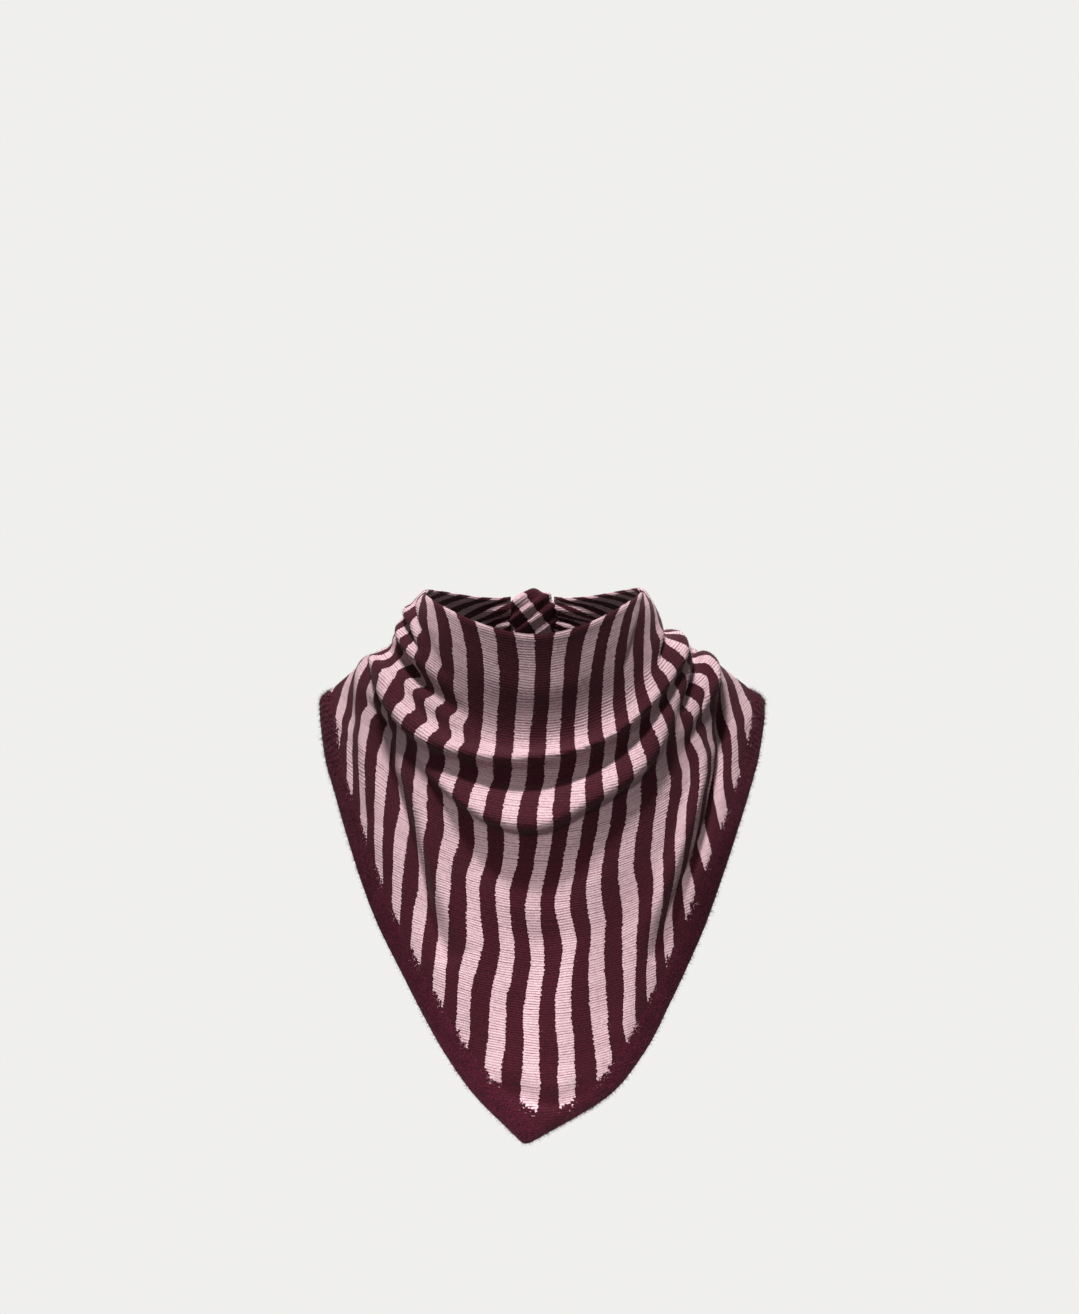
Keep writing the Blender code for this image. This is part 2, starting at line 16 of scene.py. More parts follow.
import bmesh
import bpy
import numpy as np
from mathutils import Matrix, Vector


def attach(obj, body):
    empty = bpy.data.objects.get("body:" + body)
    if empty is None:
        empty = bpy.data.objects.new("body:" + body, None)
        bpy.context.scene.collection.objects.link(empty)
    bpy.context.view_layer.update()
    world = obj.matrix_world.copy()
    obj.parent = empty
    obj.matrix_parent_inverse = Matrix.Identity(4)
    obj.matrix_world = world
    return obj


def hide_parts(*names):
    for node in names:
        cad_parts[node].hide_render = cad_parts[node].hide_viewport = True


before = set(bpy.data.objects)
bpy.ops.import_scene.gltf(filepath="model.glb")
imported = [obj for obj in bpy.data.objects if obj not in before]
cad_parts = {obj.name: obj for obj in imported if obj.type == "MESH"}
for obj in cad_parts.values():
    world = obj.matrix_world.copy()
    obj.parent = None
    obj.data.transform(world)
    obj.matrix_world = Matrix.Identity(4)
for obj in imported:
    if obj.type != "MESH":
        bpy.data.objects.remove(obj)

Pair = tuple[float, float]
Triple = tuple[float, float, float]
Colour = tuple[float, float, float, float]
NodeSocket = bpy.types.NodeSocket
Value = Union[NodeSocket, float, Colour]
Placing = Callable[[np.ndarray, np.ndarray], np.ndarray]

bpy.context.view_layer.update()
MM = 0.001
TINY = 1e-9
BODY = "root"
FLAT_MAP = "flat"
SHARP_DEGREES = 62

log = logging.getLogger("scarf")


class Side(Enum):
    """The wearer's two sides, by the sign of X."""

    RIGHT = -1
    LEFT = 1

    @property
    def word(self) -> str:
        """The side as names of pieces and columns say it."""
        return self.name.lower()


class FrontRow(NamedTuple):
    """The middle of the front at one depth below the rim, and the flat coordinate that lies there."""

    down: float
    x: float
    y: float
    z: float
    across: float


class SideRow(NamedTuple):
    """A place on the crest of each shoulder or, further down, on each outer edge of the front."""

    down: float
    y: float
    right_x: float
    right_z: float
    left_x: float
    left_z: float


class LevelRow(NamedTuple):
    """How square one level is in plan, how far round it turns, how its sides rise, and its tucks."""

    down: float
    square: float
    turn: float
    rise: float
    tuck: float


class Tuck(NamedTuple):
    """Cloth taken up by a long crease, at a share of the way from the middle to the side."""

    share: float
    width: float
    take: float


class Gather(NamedTuple):
    """The cloth behind one shoulder: its crest and the throat of the knot, at the rim and at the edge."""

    crest_rim: float
    crest_edge: float
    knot_rim: float
    knot_edge: float
    knot_down: float


class RimToEdge(NamedTuple):
    """A place or a pull of the cloth at the rim and at the short edge, on the wearer's left."""

    rim: Triple
    edge: Triple

    def at(self, side: Side, rank: np.ndarray) -> np.ndarray:
        """Reads it between rim and edge, on either side.

        Args:
            side: The side of the wearer, the right one being the mirror of the left.
            rank: Shares of the way from the rim to the short edge.

        Returns:
            One place or pull for each share.
        """
        mirror = np.array((side.value, 1, 1))
        rim, edge = mirror * self.rim, mirror * self.edge
        return rim + (edge - rim) * rank[:, None]


class Bend(NamedTuple):
    """The slanting line along which the point is turned under."""

    x: float
    z: float
    tilt: float
    radius: float


class Fold(NamedTuple):
    """A soft ridge (height above 0) or trough along a route of flat points.

    It has its own width on the side towards the rim and on the side towards the point. Drop hangs it
    over what lies below, and sway pushes it towards the wearer's left.
    """

    height: float
    above: float
    below: float
    route: tuple[Pair, ...]
    drop: float = 0.0
    sway: float = 0.0


FRONT_LINE = (
    FrontRow(0, 2, -66, 34, -22),
    FrontRow(30, 2, -69.5, 5, -22),
    FrontRow(57, 2, -73, -21.5, -20),
    FrontRow(75, 3, -82, -34, -18),
    FrontRow(90, 4, -88.5, -45, -15),
    FrontRow(105, 5, -94, -57, -12),
    FrontRow(120, 6, -99, -69, -10),
    FrontRow(150, 6, -106.5, -96, -6),
    FrontRow(180, 6, -113, -124, -4),
    FrontRow(210, 7, -119, -151.5, -3),
    FrontRow(240, 7, -124, -179.5, -2),
    FrontRow(270, 8, -128.5, -207, -1),
    FrontRow(305, 7, -132, -239, 0),
)
SIDE_LINE = (
    SideRow(0, -4, -60, 57, 61, 58),
    SideRow(15, -4, -66, 49, 66, 49.5),
    SideRow(30, -3, -71, 41, 71, 40),
    SideRow(45, -2, -76.5, 32.5, 78.5, 33),
    SideRow(60, 0, -83.5, 24, 88, 26),
    SideRow(75, 2, -92, 18, 98, 20),
    SideRow(90, 3, -100, 11.5, 107.5, 12.5),
    SideRow(105, 3, -108, 4.5, 117, 5),
    SideRow(120, -4, -115.5, -4.5, 126.5, -4.5),
    SideRow(133, -27, -112, -29.5, 123, -27),
    SideRow(150, -48, -105, -51.5, 117, -46.5),
    SideRow(167, -65, -97.5, -74, 110, -66),
    SideRow(184, -78.5, -89.5, -96.5, 101.5, -89.5),
    SideRow(201, -89, -80.5, -118, 91.5, -116),
    SideRow(219, -97.5, -69, -140, 81.5, -138),
    SideRow(236, -104.5, -57.5, -161.5, 71.5, -158),
    SideRow(253, -111, -45, -183, 61, -178),
    SideRow(270, -118, -29.8, -203.5, 45.5, -199),
    SideRow(287, -125, -11, -221.5, 26.5, -219.5),
    SideRow(305, -132, 7, -239, 7, -239),
)
LEVELS = (
    LevelRow(0, 2.4, 90, 1.8, 0),
    LevelRow(30, 2.35, 90, 1.9, 0),
    LevelRow(57, 2.2, 90, 2.1, 0),
    LevelRow(75, 2.15, 88, 2.2, 0.1),
    LevelRow(90, 2.1, 78, 2.2, 0.4),
    LevelRow(105, 2.05, 62, 2.1, 0.8),
    LevelRow(120, 2.0, 50, 2.0, 1),
    LevelRow(150, 2.0, 44, 1.9, 1),
    LevelRow(200, 2.0, 44, 1.7, 0.9),
    LevelRow(250, 2.0, 46, 1.5, 0.3),
    LevelRow(305, 2.0, 50, 1.5, 0),
)
TUCKS = {
    Side.RIGHT: (Tuck(0.5, 0.16, -0.02), Tuck(0.86, 0.1, 0.035)),
    Side.LEFT: (Tuck(0.48, 0.17, -0.05), Tuck(0.8, 0.12, 0.04)),
}
GATHERS = {Side.RIGHT: Gather(104, 194, 200, 284, 34.3), Side.LEFT: Gather(66, 194, 164, 284, 34.3)}

MAIN_FOLDS = {
    "collar foot": Fold(-2.5, 7, 8, ((-103, 64), (-60, 67), (-9, 60), (37, 57), (62, 48))),
    "upper cowl": Fold(
        8.5, 10, 5.5,
        ((-150, 57), (-121, 72), (-94, 77), (-45, 72), (-9, 68), (45, 61), (76, 56), (112, 50), (130, 44)),
        drop=6.5,
    ),
    "upper valley": Fold(-4.5, 6, 8, ((-100, 92), (-69, 89), (-13, 86), (37, 77), (79, 63))),
    "lower cowl": Fold(
        9.5, 12, 6.5, ((-90, 88), (-66, 99), (-37, 111), (-14, 112), (13, 101), (55, 87), (78, 73)), drop=7
    ),
    "lower valley": Fold(-3.5, 8, 14, ((-67, 126), (-30, 139), (-9, 142), (16, 132), (36, 117))),
    "right long crease": Fold(-7.5, 9, 9, ((-122, 88), (-106, 120), (-91, 140), (-73, 181), (-54, 206))),
    "left long crease": Fold(-7.5, 9, 9, ((150, 88), (130, 123), (114, 152), (84, 183), (61, 207))),
    "right bib fold": Fold(4.5, 10, 10, ((-97, 100), (-82, 130), (-66, 165), (-48, 195))),
    "left bib fold": Fold(4.5, 10, 10, ((104, 92), (96, 130), (78, 160), (56, 190))),
    "right notch": Fold(-3.8, 7, 7, ((-172, 44), (-144, 51), (-109, 51), (-86, 49))),
    "right upper buckle": Fold(-3, 7, 7, ((-132, 22), (-112, 32), (-84, 34))),
    "right lower buckle": Fold(3, 6, 6, ((-140, 36), (-112, 41), (-88, 42))),
    "left deep crease": Fold(-5, 6, 7, ((160, 46), (138, 58), (105, 75), (90, 84))),
    "left shoulder ridge": Fold(3, 8, 8, ((168, 56), (140, 74), (126, 92), (118, 110))),
    "left nape crease": Fold(-4, 6, 6, ((150, 26), (118, 34), (96, 38))),
    "right shoulder ridge": Fold(3, 9, 9, ((-176, 60), (-152, 84), (-134, 118), (-122, 142))),
    "point trough": Fold(-3, 5, 5, ((-27, 261), (-9, 266), (4, 268), (19, 263))),
    "bib ripple 1": Fold(1.6, 9, 9, ((-38, 152), (-42, 200), (-40, 238))),
    "bib ripple 2": Fold(-1.6, 9, 9, ((-12, 165), (-14, 210), (-18, 246))),
    "bib ripple 3": Fold(1.6, 9, 9, ((14, 160), (12, 210), (8, 250))),
    "bib ripple 4": Fold(-1.6, 9, 9, ((40, 150), (38, 200), (32, 240))),
}
SOFT_CREASES = {
    "right rim roll": Fold(-2.0, 7, 7, ((-124, 0), (-104, 1), (-84, 0))),
    "left rim roll": Fold(-2.0, 7, 7, ((46, 0), (66, 1), (86, 0))),
    "collar pucker right": Fold(-0.9, 4, 5, ((-92, 12), (-84, 28), (-70, 40)), sway=1.2),
    "collar pucker left": Fold(-0.9, 4, 5, ((52, 10), (48, 26), (38, 40)), sway=-1.2),
    "collar swell": Fold(0.9, 9, 9, ((-58, 22), (-20, 30), (22, 22))),
    "cowl pucker": Fold(-0.9, 3, 4, ((-60, 78), (-40, 84), (-22, 80))),
    "right buckle pinch": Fold(-1.3, 3, 4, ((-122, 26), (-104, 26), (-90, 22)), sway=1.4),
    "right shoulder pinch": Fold(-1.2, 4, 5, ((-150, 70), (-132, 78), (-112, 82))),
    "left shoulder pinch": Fold(-1.4, 4, 5, ((132, 30), (116, 46), (100, 52)), sway=-1.4),
    "left shoulder swell": Fold(1.2, 5, 6, ((146, 44), (124, 60), (108, 64))),
    "bib dimple": Fold(-0.8, 7, 8, ((-34, 170), (-10, 180), (18, 172))),
    "right neck crease 1": Fold(-3.1, 4, 4.5, ((-152, 34), (-128, 42), (-108, 47), (-90, 55)), sway=2.6),
    "right neck crease 2": Fold(2.9, 3.6, 4, ((-142, 16), (-120, 21), (-100, 28), (-86, 38)), sway=-2.6),
    "right neck crease 3": Fold(-2.4, 3.4, 3.8, ((-120, 8), (-106, 14), (-94, 24)), sway=2.0),
    "right shoulder fold": Fold(2.7, 4, 4.5, ((-160, 70), (-140, 64), (-122, 64), (-104, 66)), sway=-2.2),
    "right lower pinch": Fold(-2.4, 4, 4.5, ((-146, 92), (-126, 92), (-108, 98)), sway=2.2),
    "left neck crease 1": Fold(-3.1, 4, 4.5, ((126, 20), (108, 28), (92, 36), (80, 46)), sway=-2.6),
    "left neck crease 2": Fold(2.9, 3.6, 4, ((140, 34), (120, 44), (102, 52), (88, 60)), sway=2.6),
    "left shoulder fold": Fold(3.1, 4, 4.5, ((152, 74), (134, 82), (118, 88), (104, 96)), sway=-2.6),
    "left shoulder dip": Fold(-2.9, 4, 4.5, ((168, 66), (150, 62), (132, 66), (116, 74)), sway=2.4),
    "right crush 1": Fold(1.2, 4.5, 4.5, ((-126, 38), (-98, 41), (-62, 42)), sway=-2.6),
    "right crush 2": Fold(-1.5, 4.5, 4.5, ((-126, 46), (-96, 50), (-56, 51)), sway=2.8),
    "right crush 3": Fold(1.4, 4.5, 4.5, ((-124, 55), (-94, 59), (-50, 60)), sway=-2.8),
    "right crush 4": Fold(-1.2, 4.5, 4.5, ((-120, 65), (-92, 68), (-50, 68)), sway=2.4),
    "left crush 1": Fold(1.4, 4.5, 4.5, ((82, 72), (104, 63), (128, 52)), sway=2.6),
    "left crush 2": Fold(-1.5, 4.5, 4.5, ((82, 82), (104, 74), (130, 62)), sway=-2.8),
    "left crush 3": Fold(1.4, 4.5, 4.5, ((84, 93), (106, 85), (132, 74)), sway=2.6),
    "left crush 4": Fold(-1.4, 4.5, 4.5, ((84, 103), (106, 96), (130, 86)), sway=-2.4),
    "left crush 5": Fold(1.2, 4.5, 4.5, ((64, 38), (90, 34), (116, 24)), sway=2.4),
    "left crush 6": Fold(-1.4, 4.5, 4.5, ((62, 48), (90, 44), (116, 34)), sway=-2.6),
    "bib sway 1": Fold(0.6, 12, 13, ((-78, 142), (-38, 156), (8, 160), (62, 146)), sway=-2.1),
    "bib sway 2": Fold(-0.6, 12, 13, ((-70, 176), (-34, 190), (12, 184), (66, 166)), sway=2.2),
    "bib sway 3": Fold(0.5, 12, 13, ((-56, 206), (-18, 221), (30, 213)), sway=-1.7),
    "edge ripple right": Fold(1.0, 8, 8, ((-128, 150), (-112, 160), (-100, 162))),
    "edge ripple left": Fold(1.0, 8, 8, ((110, 168), (100, 178), (92, 182))),
}


@dataclass
class FlatCut:
    """The flat triangle and its border, in millimetres."""

    long_edge: float = 640.0
    height: float = 305.0
    border: float = 14.0

    @property
    def half_edge(self) -> float:
        """Half the long edge."""
        return self.long_edge / 2

    @property
    def slope(self) -> float:
        """How far the short edges fall for each millimetre across."""
        return self.height / self.half_edge

    @property
    def panel_height(self) -> float:
        """Height of the striped panel inside the border."""
        return self.height - self.border * math.hypot(1, self.slope)

    @property
    def panel_half(self) -> float:
        """Half the long edge of the striped panel."""
        return self.panel_height / self.slope

    def edge_across(self, down: np.ndarray) -> np.ndarray:
        """Half the width of the triangle at a depth below its long edge."""
        return (self.height - down) / self.slope


def hermite(
    t: np.ndarray, start: np.ndarray, leave: np.ndarray, finish: np.ndarray, arrive: np.ndarray
) -> np.ndarray:
    """A cubic curve from start to finish that leaves and arrives with the given slopes.

    Args:
        t: Shares of the way.
        start: Values at the start.
        leave: Slopes at the start.
        finish: Values at the finish.
        arrive: Slopes at the finish.

    Returns:
        The curve's value at each share.
    """
    begun = start * (1 + 2 * t) * (1 - t) ** 2 + leave * t * (1 - t) ** 2
    return begun + finish * t**2 * (3 - 2 * t) + arrive * t**2 * (t - 1)


def curve(knots: np.ndarray, values: np.ndarray, at: np.ndarray) -> np.ndarray:
    """A smooth curve through values.

    Args:
        knots: Where the values lie, in rising order.
        values: The value at each knot.
        at: Where to read the curve, between the first knot and the last.

    Returns:
        The curve's value at each place.
    """
    slopes = np.gradient(values, knots)
    index = np.clip(np.searchsorted(knots, at, side="right") - 1, 0, len(knots) - 2)
    span = knots[index + 1] - knots[index]
    t = (at - knots[index]) / span
    return hermite(t, values[index], slopes[index] * span, values[index + 1], slopes[index + 1] * span)


def smooth(table: tuple[NamedTuple, ...], name: str, down: np.ndarray) -> np.ndarray:
    """Reads a named column along a smooth curve through its rows.

    Args:
        table: Rows sorted by their column `down`.
        name: The column to read.
        down: Depths below the rim.

    Returns:
        The column's value at each depth.
    """
    knots = np.array([row.down for row in table], float)
    values = np.array([getattr(row, name) for row in table], float)
    return curve(knots, values, np.clip(down, knots[0], knots[-1]))


def share_along(points: np.ndarray) -> np.ndarray:
    """The share of a line's length at each of its points.

    Args:
        points: The line's points.

    Returns:
        Shares from 0 at the first point to 1 at the last.
    """
    steps = np.linalg.norm(np.diff(points, axis=0), axis=1)
    lengths = np.concatenate([[0], np.cumsum(steps)])
    return lengths / lengths[-1]


def taken_up(shares: np.ndarray, tucks: tuple[Tuck, ...]) -> np.ndarray:
    """How much the share of a ring's cloth differs from the share of its length."""
    extra = sum(tuck.take * np.exp(-(((shares - tuck.share) / tuck.width) ** 2)) for tuck in tucks)
    return extra - extra[0] - (extra[-1] - extra[0]) * shares


def unit(vectors: np.ndarray) -> np.ndarray:
    """Vectors of length one."""
    return vectors / np.maximum(np.linalg.norm(vectors, axis=1, keepdims=True), TINY)


@dataclass
class Drape:
    """Places flat cloth in its worn shape: collar, front, shoulders, and both sides drawn to the knot.

    The front is a stack of rings, one for each depth below the rim. Behind the crest of each shoulder
    the cloth leaves its ring and arrives at the throat of the knot. Sizes are in millimetres.
    """

    cut: FlatCut
    folds: tuple[Fold, ...]
    corner_down: float = 120.0
    crest_bend: float = 0.7
    leave: RimToEdge = RimToEdge((0, 78, 18), (0, 90, -14))
    throat: RimToEdge = RimToEdge((12.3, 69, 56), (12.3, 69, 28))
    arrive: RimToEdge = RimToEdge((-62, 8, 10), (-102, 8, 6))
    furthest: float = 1.3
    halvings: int = 30
    pleats: int = 3
    pleat_height: float = 2.2
    pleat_growth: float = 1.5
    bend: Bend = Bend(1, -220, 29, 4.4)
    rings: int = 306
    ring_points: int = 201
    route_points: int = 33
    fold_reach: float = 3.0
    fold_fade: float = 0.6
    fold_end: float = 0.005
    least_distance: float = 0.0001
    step: float = 0.5
    point_steps: int = 4
    points: np.ndarray = field(init=False)
    acrosses: np.ndarray = field(init=False)

    def __post_init__(self) -> None:
        """Works out a ring of cloth for each depth, and the flat coordinate of its points."""
        rings, acrosses = [], []
        for down in np.linspace(0, self.cut.height - self.step, self.rings):
            middle = smooth(FRONT_LINE, "across", down)
            halves, flats = {}, {}
            for side in Side:
                halves[side] = self.half_ring(down, side)
                share = share_along(halves[side])
                share = share + smooth(LEVELS, "tuck", down) * taken_up(share, TUCKS[side])
                end = side.value * self.end_across(GATHERS[side], down)
                flats[side] = middle + (end - middle) * share
            rings.append(np.concatenate([halves[Side.RIGHT][::-1], halves[Side.LEFT][1:]]))
            acrosses.append(np.concatenate([flats[Side.RIGHT][::-1], flats[Side.LEFT][1:]]))
        self.points = np.array(rings)
        self.acrosses = np.array(acrosses)

    def crest_across(self, gather: Gather, rank: np.ndarray) -> np.ndarray:
        """Where a shoulder's crest lies in the flat cloth, from 0 at the rim to 1 at the short edge."""
        return gather.crest_rim + (gather.crest_edge - gather.crest_rim) * rank**self.crest_bend

    def end_across(self, gather: Gather, down: np.ndarray) -> np.ndarray:
        """How far from the middle a ring runs: to the shoulder's crest, or to the short edge."""
        share = np.clip(down / self.corner_down, 0, 1)
        return np.where(down < self.corner_down, self.crest_across(gather, share), self.cut.edge_across(down))

    def half_ring(self, down: float, side: Side) -> np.ndarray:
        """One half of a ring.

        Args:
            down: The ring's depth below the rim.
            side: The half to make.

        Returns:
            Points from the middle of the front round to the side.
        """
        square, turn, rise = (smooth(LEVELS, name, down) for name in ("square", "turn", "rise"))
        turn = math.radians(turn)
        middle = np.array([smooth(FRONT_LINE, name, down) for name in "xyz"])
        columns = (side.word + "_x", "y", side.word + "_z")
        end = np.array([smooth(SIDE_LINE, name, down) for name in columns])
        angle = turn * np.linspace(0, 1, self.ring_points)
        reach = np.sin(angle) ** (2 / square) / math.sin(turn) ** (2 / square)
        depth = 1 - np.clip(np.cos(angle), 0, 1) ** (2 / square)
        depth /= depth[-1]
        return middle + (end - middle) * np.stack([reach, depth, reach**rise], axis=1)

    def on_ring(self, row: int, across: np.ndarray) -> np.ndarray:
        """Reads the ring of one row at flat coordinates."""
        line = self.points[row]
        return np.stack([np.interp(across, self.acrosses[row], line[:, axis]) for axis in range(3)], axis=1)

    def front(self, across: np.ndarray, down: np.ndarray) -> np.ndarray:
        """Places flat points of the front and the sides, up to the crests of the shoulders.

        Args:
            across: Flat coordinates along the long edge.
            down: Flat coordinates towards the point.

        Returns:
            Places between the two nearest rings.
        """
        level = np.clip(down / (self.cut.height - self.step), 0, 1) * (self.rings - 1)
        lower = np.minimum(level.astype(int), self.rings - 2)
        share = (level - lower)[:, None]
        order = np.argsort(lower, kind="stable")
        rows, starts = np.unique(lower[order], return_index=True)
        result = np.empty((len(across), 3))
        for row, chosen in zip(rows, np.split(order, starts[1:])):
            at = across[chosen]
            near = share[chosen]
            result[chosen] = self.on_ring(row, at) * (1 - near) + self.on_ring(row + 1, at) * near
        return result

    def shares(self, gather: Gather, across: np.ndarray, down: np.ndarray) -> tuple[np.ndarray, np.ndarray]:
        """Finds where flat points lie behind a crest, by halving.

        Args:
            gather: The cloth behind that crest.
            across: Flat coordinates along the long edge.
            down: Flat coordinates towards the point.

        Returns:
            Their shares from rim to short edge, and their shares from crest to knot.
        """
        reach = np.abs(across)
        low, high = np.zeros_like(reach), np.full_like(reach, self.furthest)
        for _ in range(self.halvings):
            along = (low + high) / 2
            rank = down / (self.corner_down + (gather.knot_down - self.corner_down) * along)
            crest = self.crest_across(gather, rank)
            knot = gather.knot_rim + (gather.knot_edge - gather.knot_rim) * rank
            past = crest + (knot - crest) * along > reach
            low, high = np.where(past, low, along), np.where(past, along, high)
        return np.minimum(rank, 1), along

    def behind(self, side: Side, across: np.ndarray, down: np.ndarray) -> np.ndarray:
        """Which flat points lie behind one shoulder's crest."""
        return (down < self.corner_down) & (side.value * across > self.end_across(GATHERS[side], down))

    def back(self, side: Side, across: np.ndarray, down: np.ndarray) -> np.ndarray:
        """Places flat points behind the crest of one shoulder, gathered towards the knot.

        Args:
            side: The shoulder.
            across: Flat coordinates along the long edge.
            down: Flat coordinates towards the point.

        Returns:
            Places on curves from the crest to the throat of the knot.
        """
        gather = GATHERS[side]
        rank, along = self.shares(gather, across, down)
        start = self.front(side.value * self.crest_across(gather, rank), self.corner_down * rank)
        leave, finish, arrive = (span.at(side, rank) for span in (self.leave, self.throat, self.arrive))
        return hermite(along[:, None], start, leave, finish, arrive)

    def base(self, across: np.ndarray, down: np.ndarray) -> np.ndarray:
        """Places flat points on the worn form, before its folds.

        Args:
            across: Flat coordinates along the long edge.
            down: Flat coordinates towards the point.

        Returns:
            Places on the plain form.
        """
        result = self.front(across, down)
        for side in Side:
            chosen = self.behind(side, across, down)
            if chosen.any():
                result[chosen] = self.back(side, across[chosen], down[chosen])
        return result

    def route(self, points: tuple[Pair, ...]) -> np.ndarray:
        """A smooth line of flat points through a fold's route.

        Args:
            points: The route.

        Returns:
            The line, with the same number of points for every fold.
        """
        places = np.array(points, float)
        knots = share_along(places)
        at = np.linspace(0, 1, self.route_points)
        return np.stack([curve(knots, places[:, axis], at) for axis in range(2)], axis=1)

    def fold_share(self, fold: Fold, across: np.ndarray, down: np.ndarray) -> np.ndarray:
        """How strongly a fold lifts each flat point.

        Args:
            fold: The fold.
            across: Flat coordinates along the long edge.
            down: Flat coordinates towards the point.

        Returns:
            1 on the middle of the fold's line, fading to its ends and sides.
        """
        line = self.route(fold.route)
        reach = self.fold_reach * max(fold.above, fold.below)
        low, high = line.min(axis=0) - reach, line.max(axis=0) + reach
        near = (across > low[0]) & (across < high[0]) & (down > low[1]) & (down < high[1])
        result = np.zeros(len(across))
        if not near.any():
            return result
        flat = np.stack([across[near], down[near]], axis=1)
        gap = flat[:, None, :] - line[None]
        nearest = np.hypot(gap[..., 0], gap[..., 1]).argmin(axis=1)
        share, closest = np.zeros(len(flat)), np.full(len(flat), np.inf)
        for start in (np.maximum(nearest - 1, 0), np.minimum(nearest, self.route_points - 2)):
            heading = line[start + 1] - line[start]
            length = np.hypot(heading[:, 0], heading[:, 1])
            step = np.clip(((flat - line[start]) * heading).sum(axis=1) / length**2, 0, 1)
            offset = flat - line[start] - step[:, None] * heading
            distance = np.maximum(np.hypot(offset[:, 0], offset[:, 1]), self.least_distance)
            side = heading[:, 0] * offset[:, 1] - heading[:, 1] * offset[:, 0]
            side *= np.sign(heading[:, 0]) / (length * distance)
            width = fold.above + (fold.below - fold.above) * (1 + side) / 2
            along = np.clip((start + step) / (self.route_points - 1), self.fold_end, 1 - self.fold_end)
            here = np.sin(math.pi * along) ** self.fold_fade * np.exp(-((distance / width) ** 2))
            share = np.where(distance < closest, here, share)
            closest = np.minimum(closest, distance)
        result[near] = share
        return result

    def pleat_lift(self, across: np.ndarray, down: np.ndarray) -> np.ndarray:
        """The pleats that run into the knot on each side.

        Args:
            across: Flat coordinates along the long edge.
            down: Flat coordinates towards the point.

        Returns:
            How high the pleats stand above the plain form.
        """
        lift = np.zeros_like(across)
        for side in Side:
            chosen = self.behind(side, across, down)
            if chosen.any():
                rank, along = self.shares(GATHERS[side], across[chosen], down[chosen])
                wave = np.sin(2 * math.pi * self.pleats * rank) * np.sin(math.pi * rank)
                lift[chosen] = self.pleat_height * wave * np.clip(along, 0, 1) ** self.pleat_growth
        return lift

    def turn_point_under(self, place: np.ndarray) -> np.ndarray:
        """Rolls what lies beyond the bend at the point to the back.

        Args:
            place: Places on the cloth, folds included.

        Returns:
            The same places with the point turned under.
        """
        tilt, radius = math.radians(self.bend.tilt), self.bend.radius
        beyond = (place[:, 0] - self.bend.x) * math.sin(tilt) - (place[:, 2] - self.bend.z) * math.cos(tilt)
        over = np.maximum(beyond, 0)
        angle = np.minimum(over / radius, math.pi)
        shift = radius * np.sin(angle) - (over - radius * angle) - over
        result = place.copy()
        result[:, 0] += shift * math.sin(tilt)
        result[:, 1] += radius * (1 - np.cos(angle))
        result[:, 2] -= shift * math.cos(tilt)
        return result

    def lie(
        self, placed: Placing, across: np.ndarray, down: np.ndarray, step: float
    ) -> tuple[np.ndarray, np.ndarray, np.ndarray]:
        """The lie of the cloth at flat points, measured a step inside its edges.

        Args:
            placed: The placing to measure.
            across: Flat coordinates along the long edge.
            down: Flat coordinates towards the point.
            step: How far to each side of a point to measure.

        Returns:
            Unit vectors sideways, downward and outward.
        """
        inside = np.clip(down, step, self.cut.height - self.point_steps * step)
        reach = self.cut.edge_across(inside + step) - step
        near = np.clip(across, -reach, reach)
        sideways = placed(near + step, inside) - placed(near - step, inside)
        downward = placed(near, inside + step) - placed(near, inside - step)
        return unit(sideways), unit(downward), unit(np.cross(downward, sideways))

    def middle(self, across: np.ndarray, down: np.ndarray) -> np.ndarray:
        """Places flat points on the middle of the worn cloth, folds and pleats included.

        Args:
            across: Flat coordinates along the long edge.
            down: Flat coordinates towards the point.

        Returns:
            Places half-way through the cloth's wall.
        """
        place = self.base(across, down)
        sideways, downward, normal = self.lie(self.base, across, down, self.step)
        for fold in self.folds:
            share = self.fold_share(fold, across, down)[:, None]
            place = place + share * (fold.height * normal + fold.drop * downward + fold.sway * sideways)
        place = place + self.pleat_lift(across, down)[:, None] * normal
        return self.turn_point_under(place)

    def place(self, across: np.ndarray, down: np.ndarray, lift: np.ndarray) -> np.ndarray:
        """Places flat points, each at a height above the middle of the cloth.

        Args:
            across: Flat coordinates along the long edge.
            down: Flat coordinates towards the point.
            lift: Heights above the middle of the cloth, towards its outer face.

        Returns:
            Places in millimetres.
        """
        outward = self.lie(self.middle, across, down, 2 * self.step)[2]
        return self.middle(across, down) + lift[:, None] * outward


class Noise(NamedTuple):
    """An unevenness of the yarn: how fine it is, its detail, and how far it strays to each side."""

    scale: float
    detail: float
    spread: float


class Step(NamedTuple):
    """Where a smooth step from 0 to 1 begins and ends."""

    low: float
    high: float


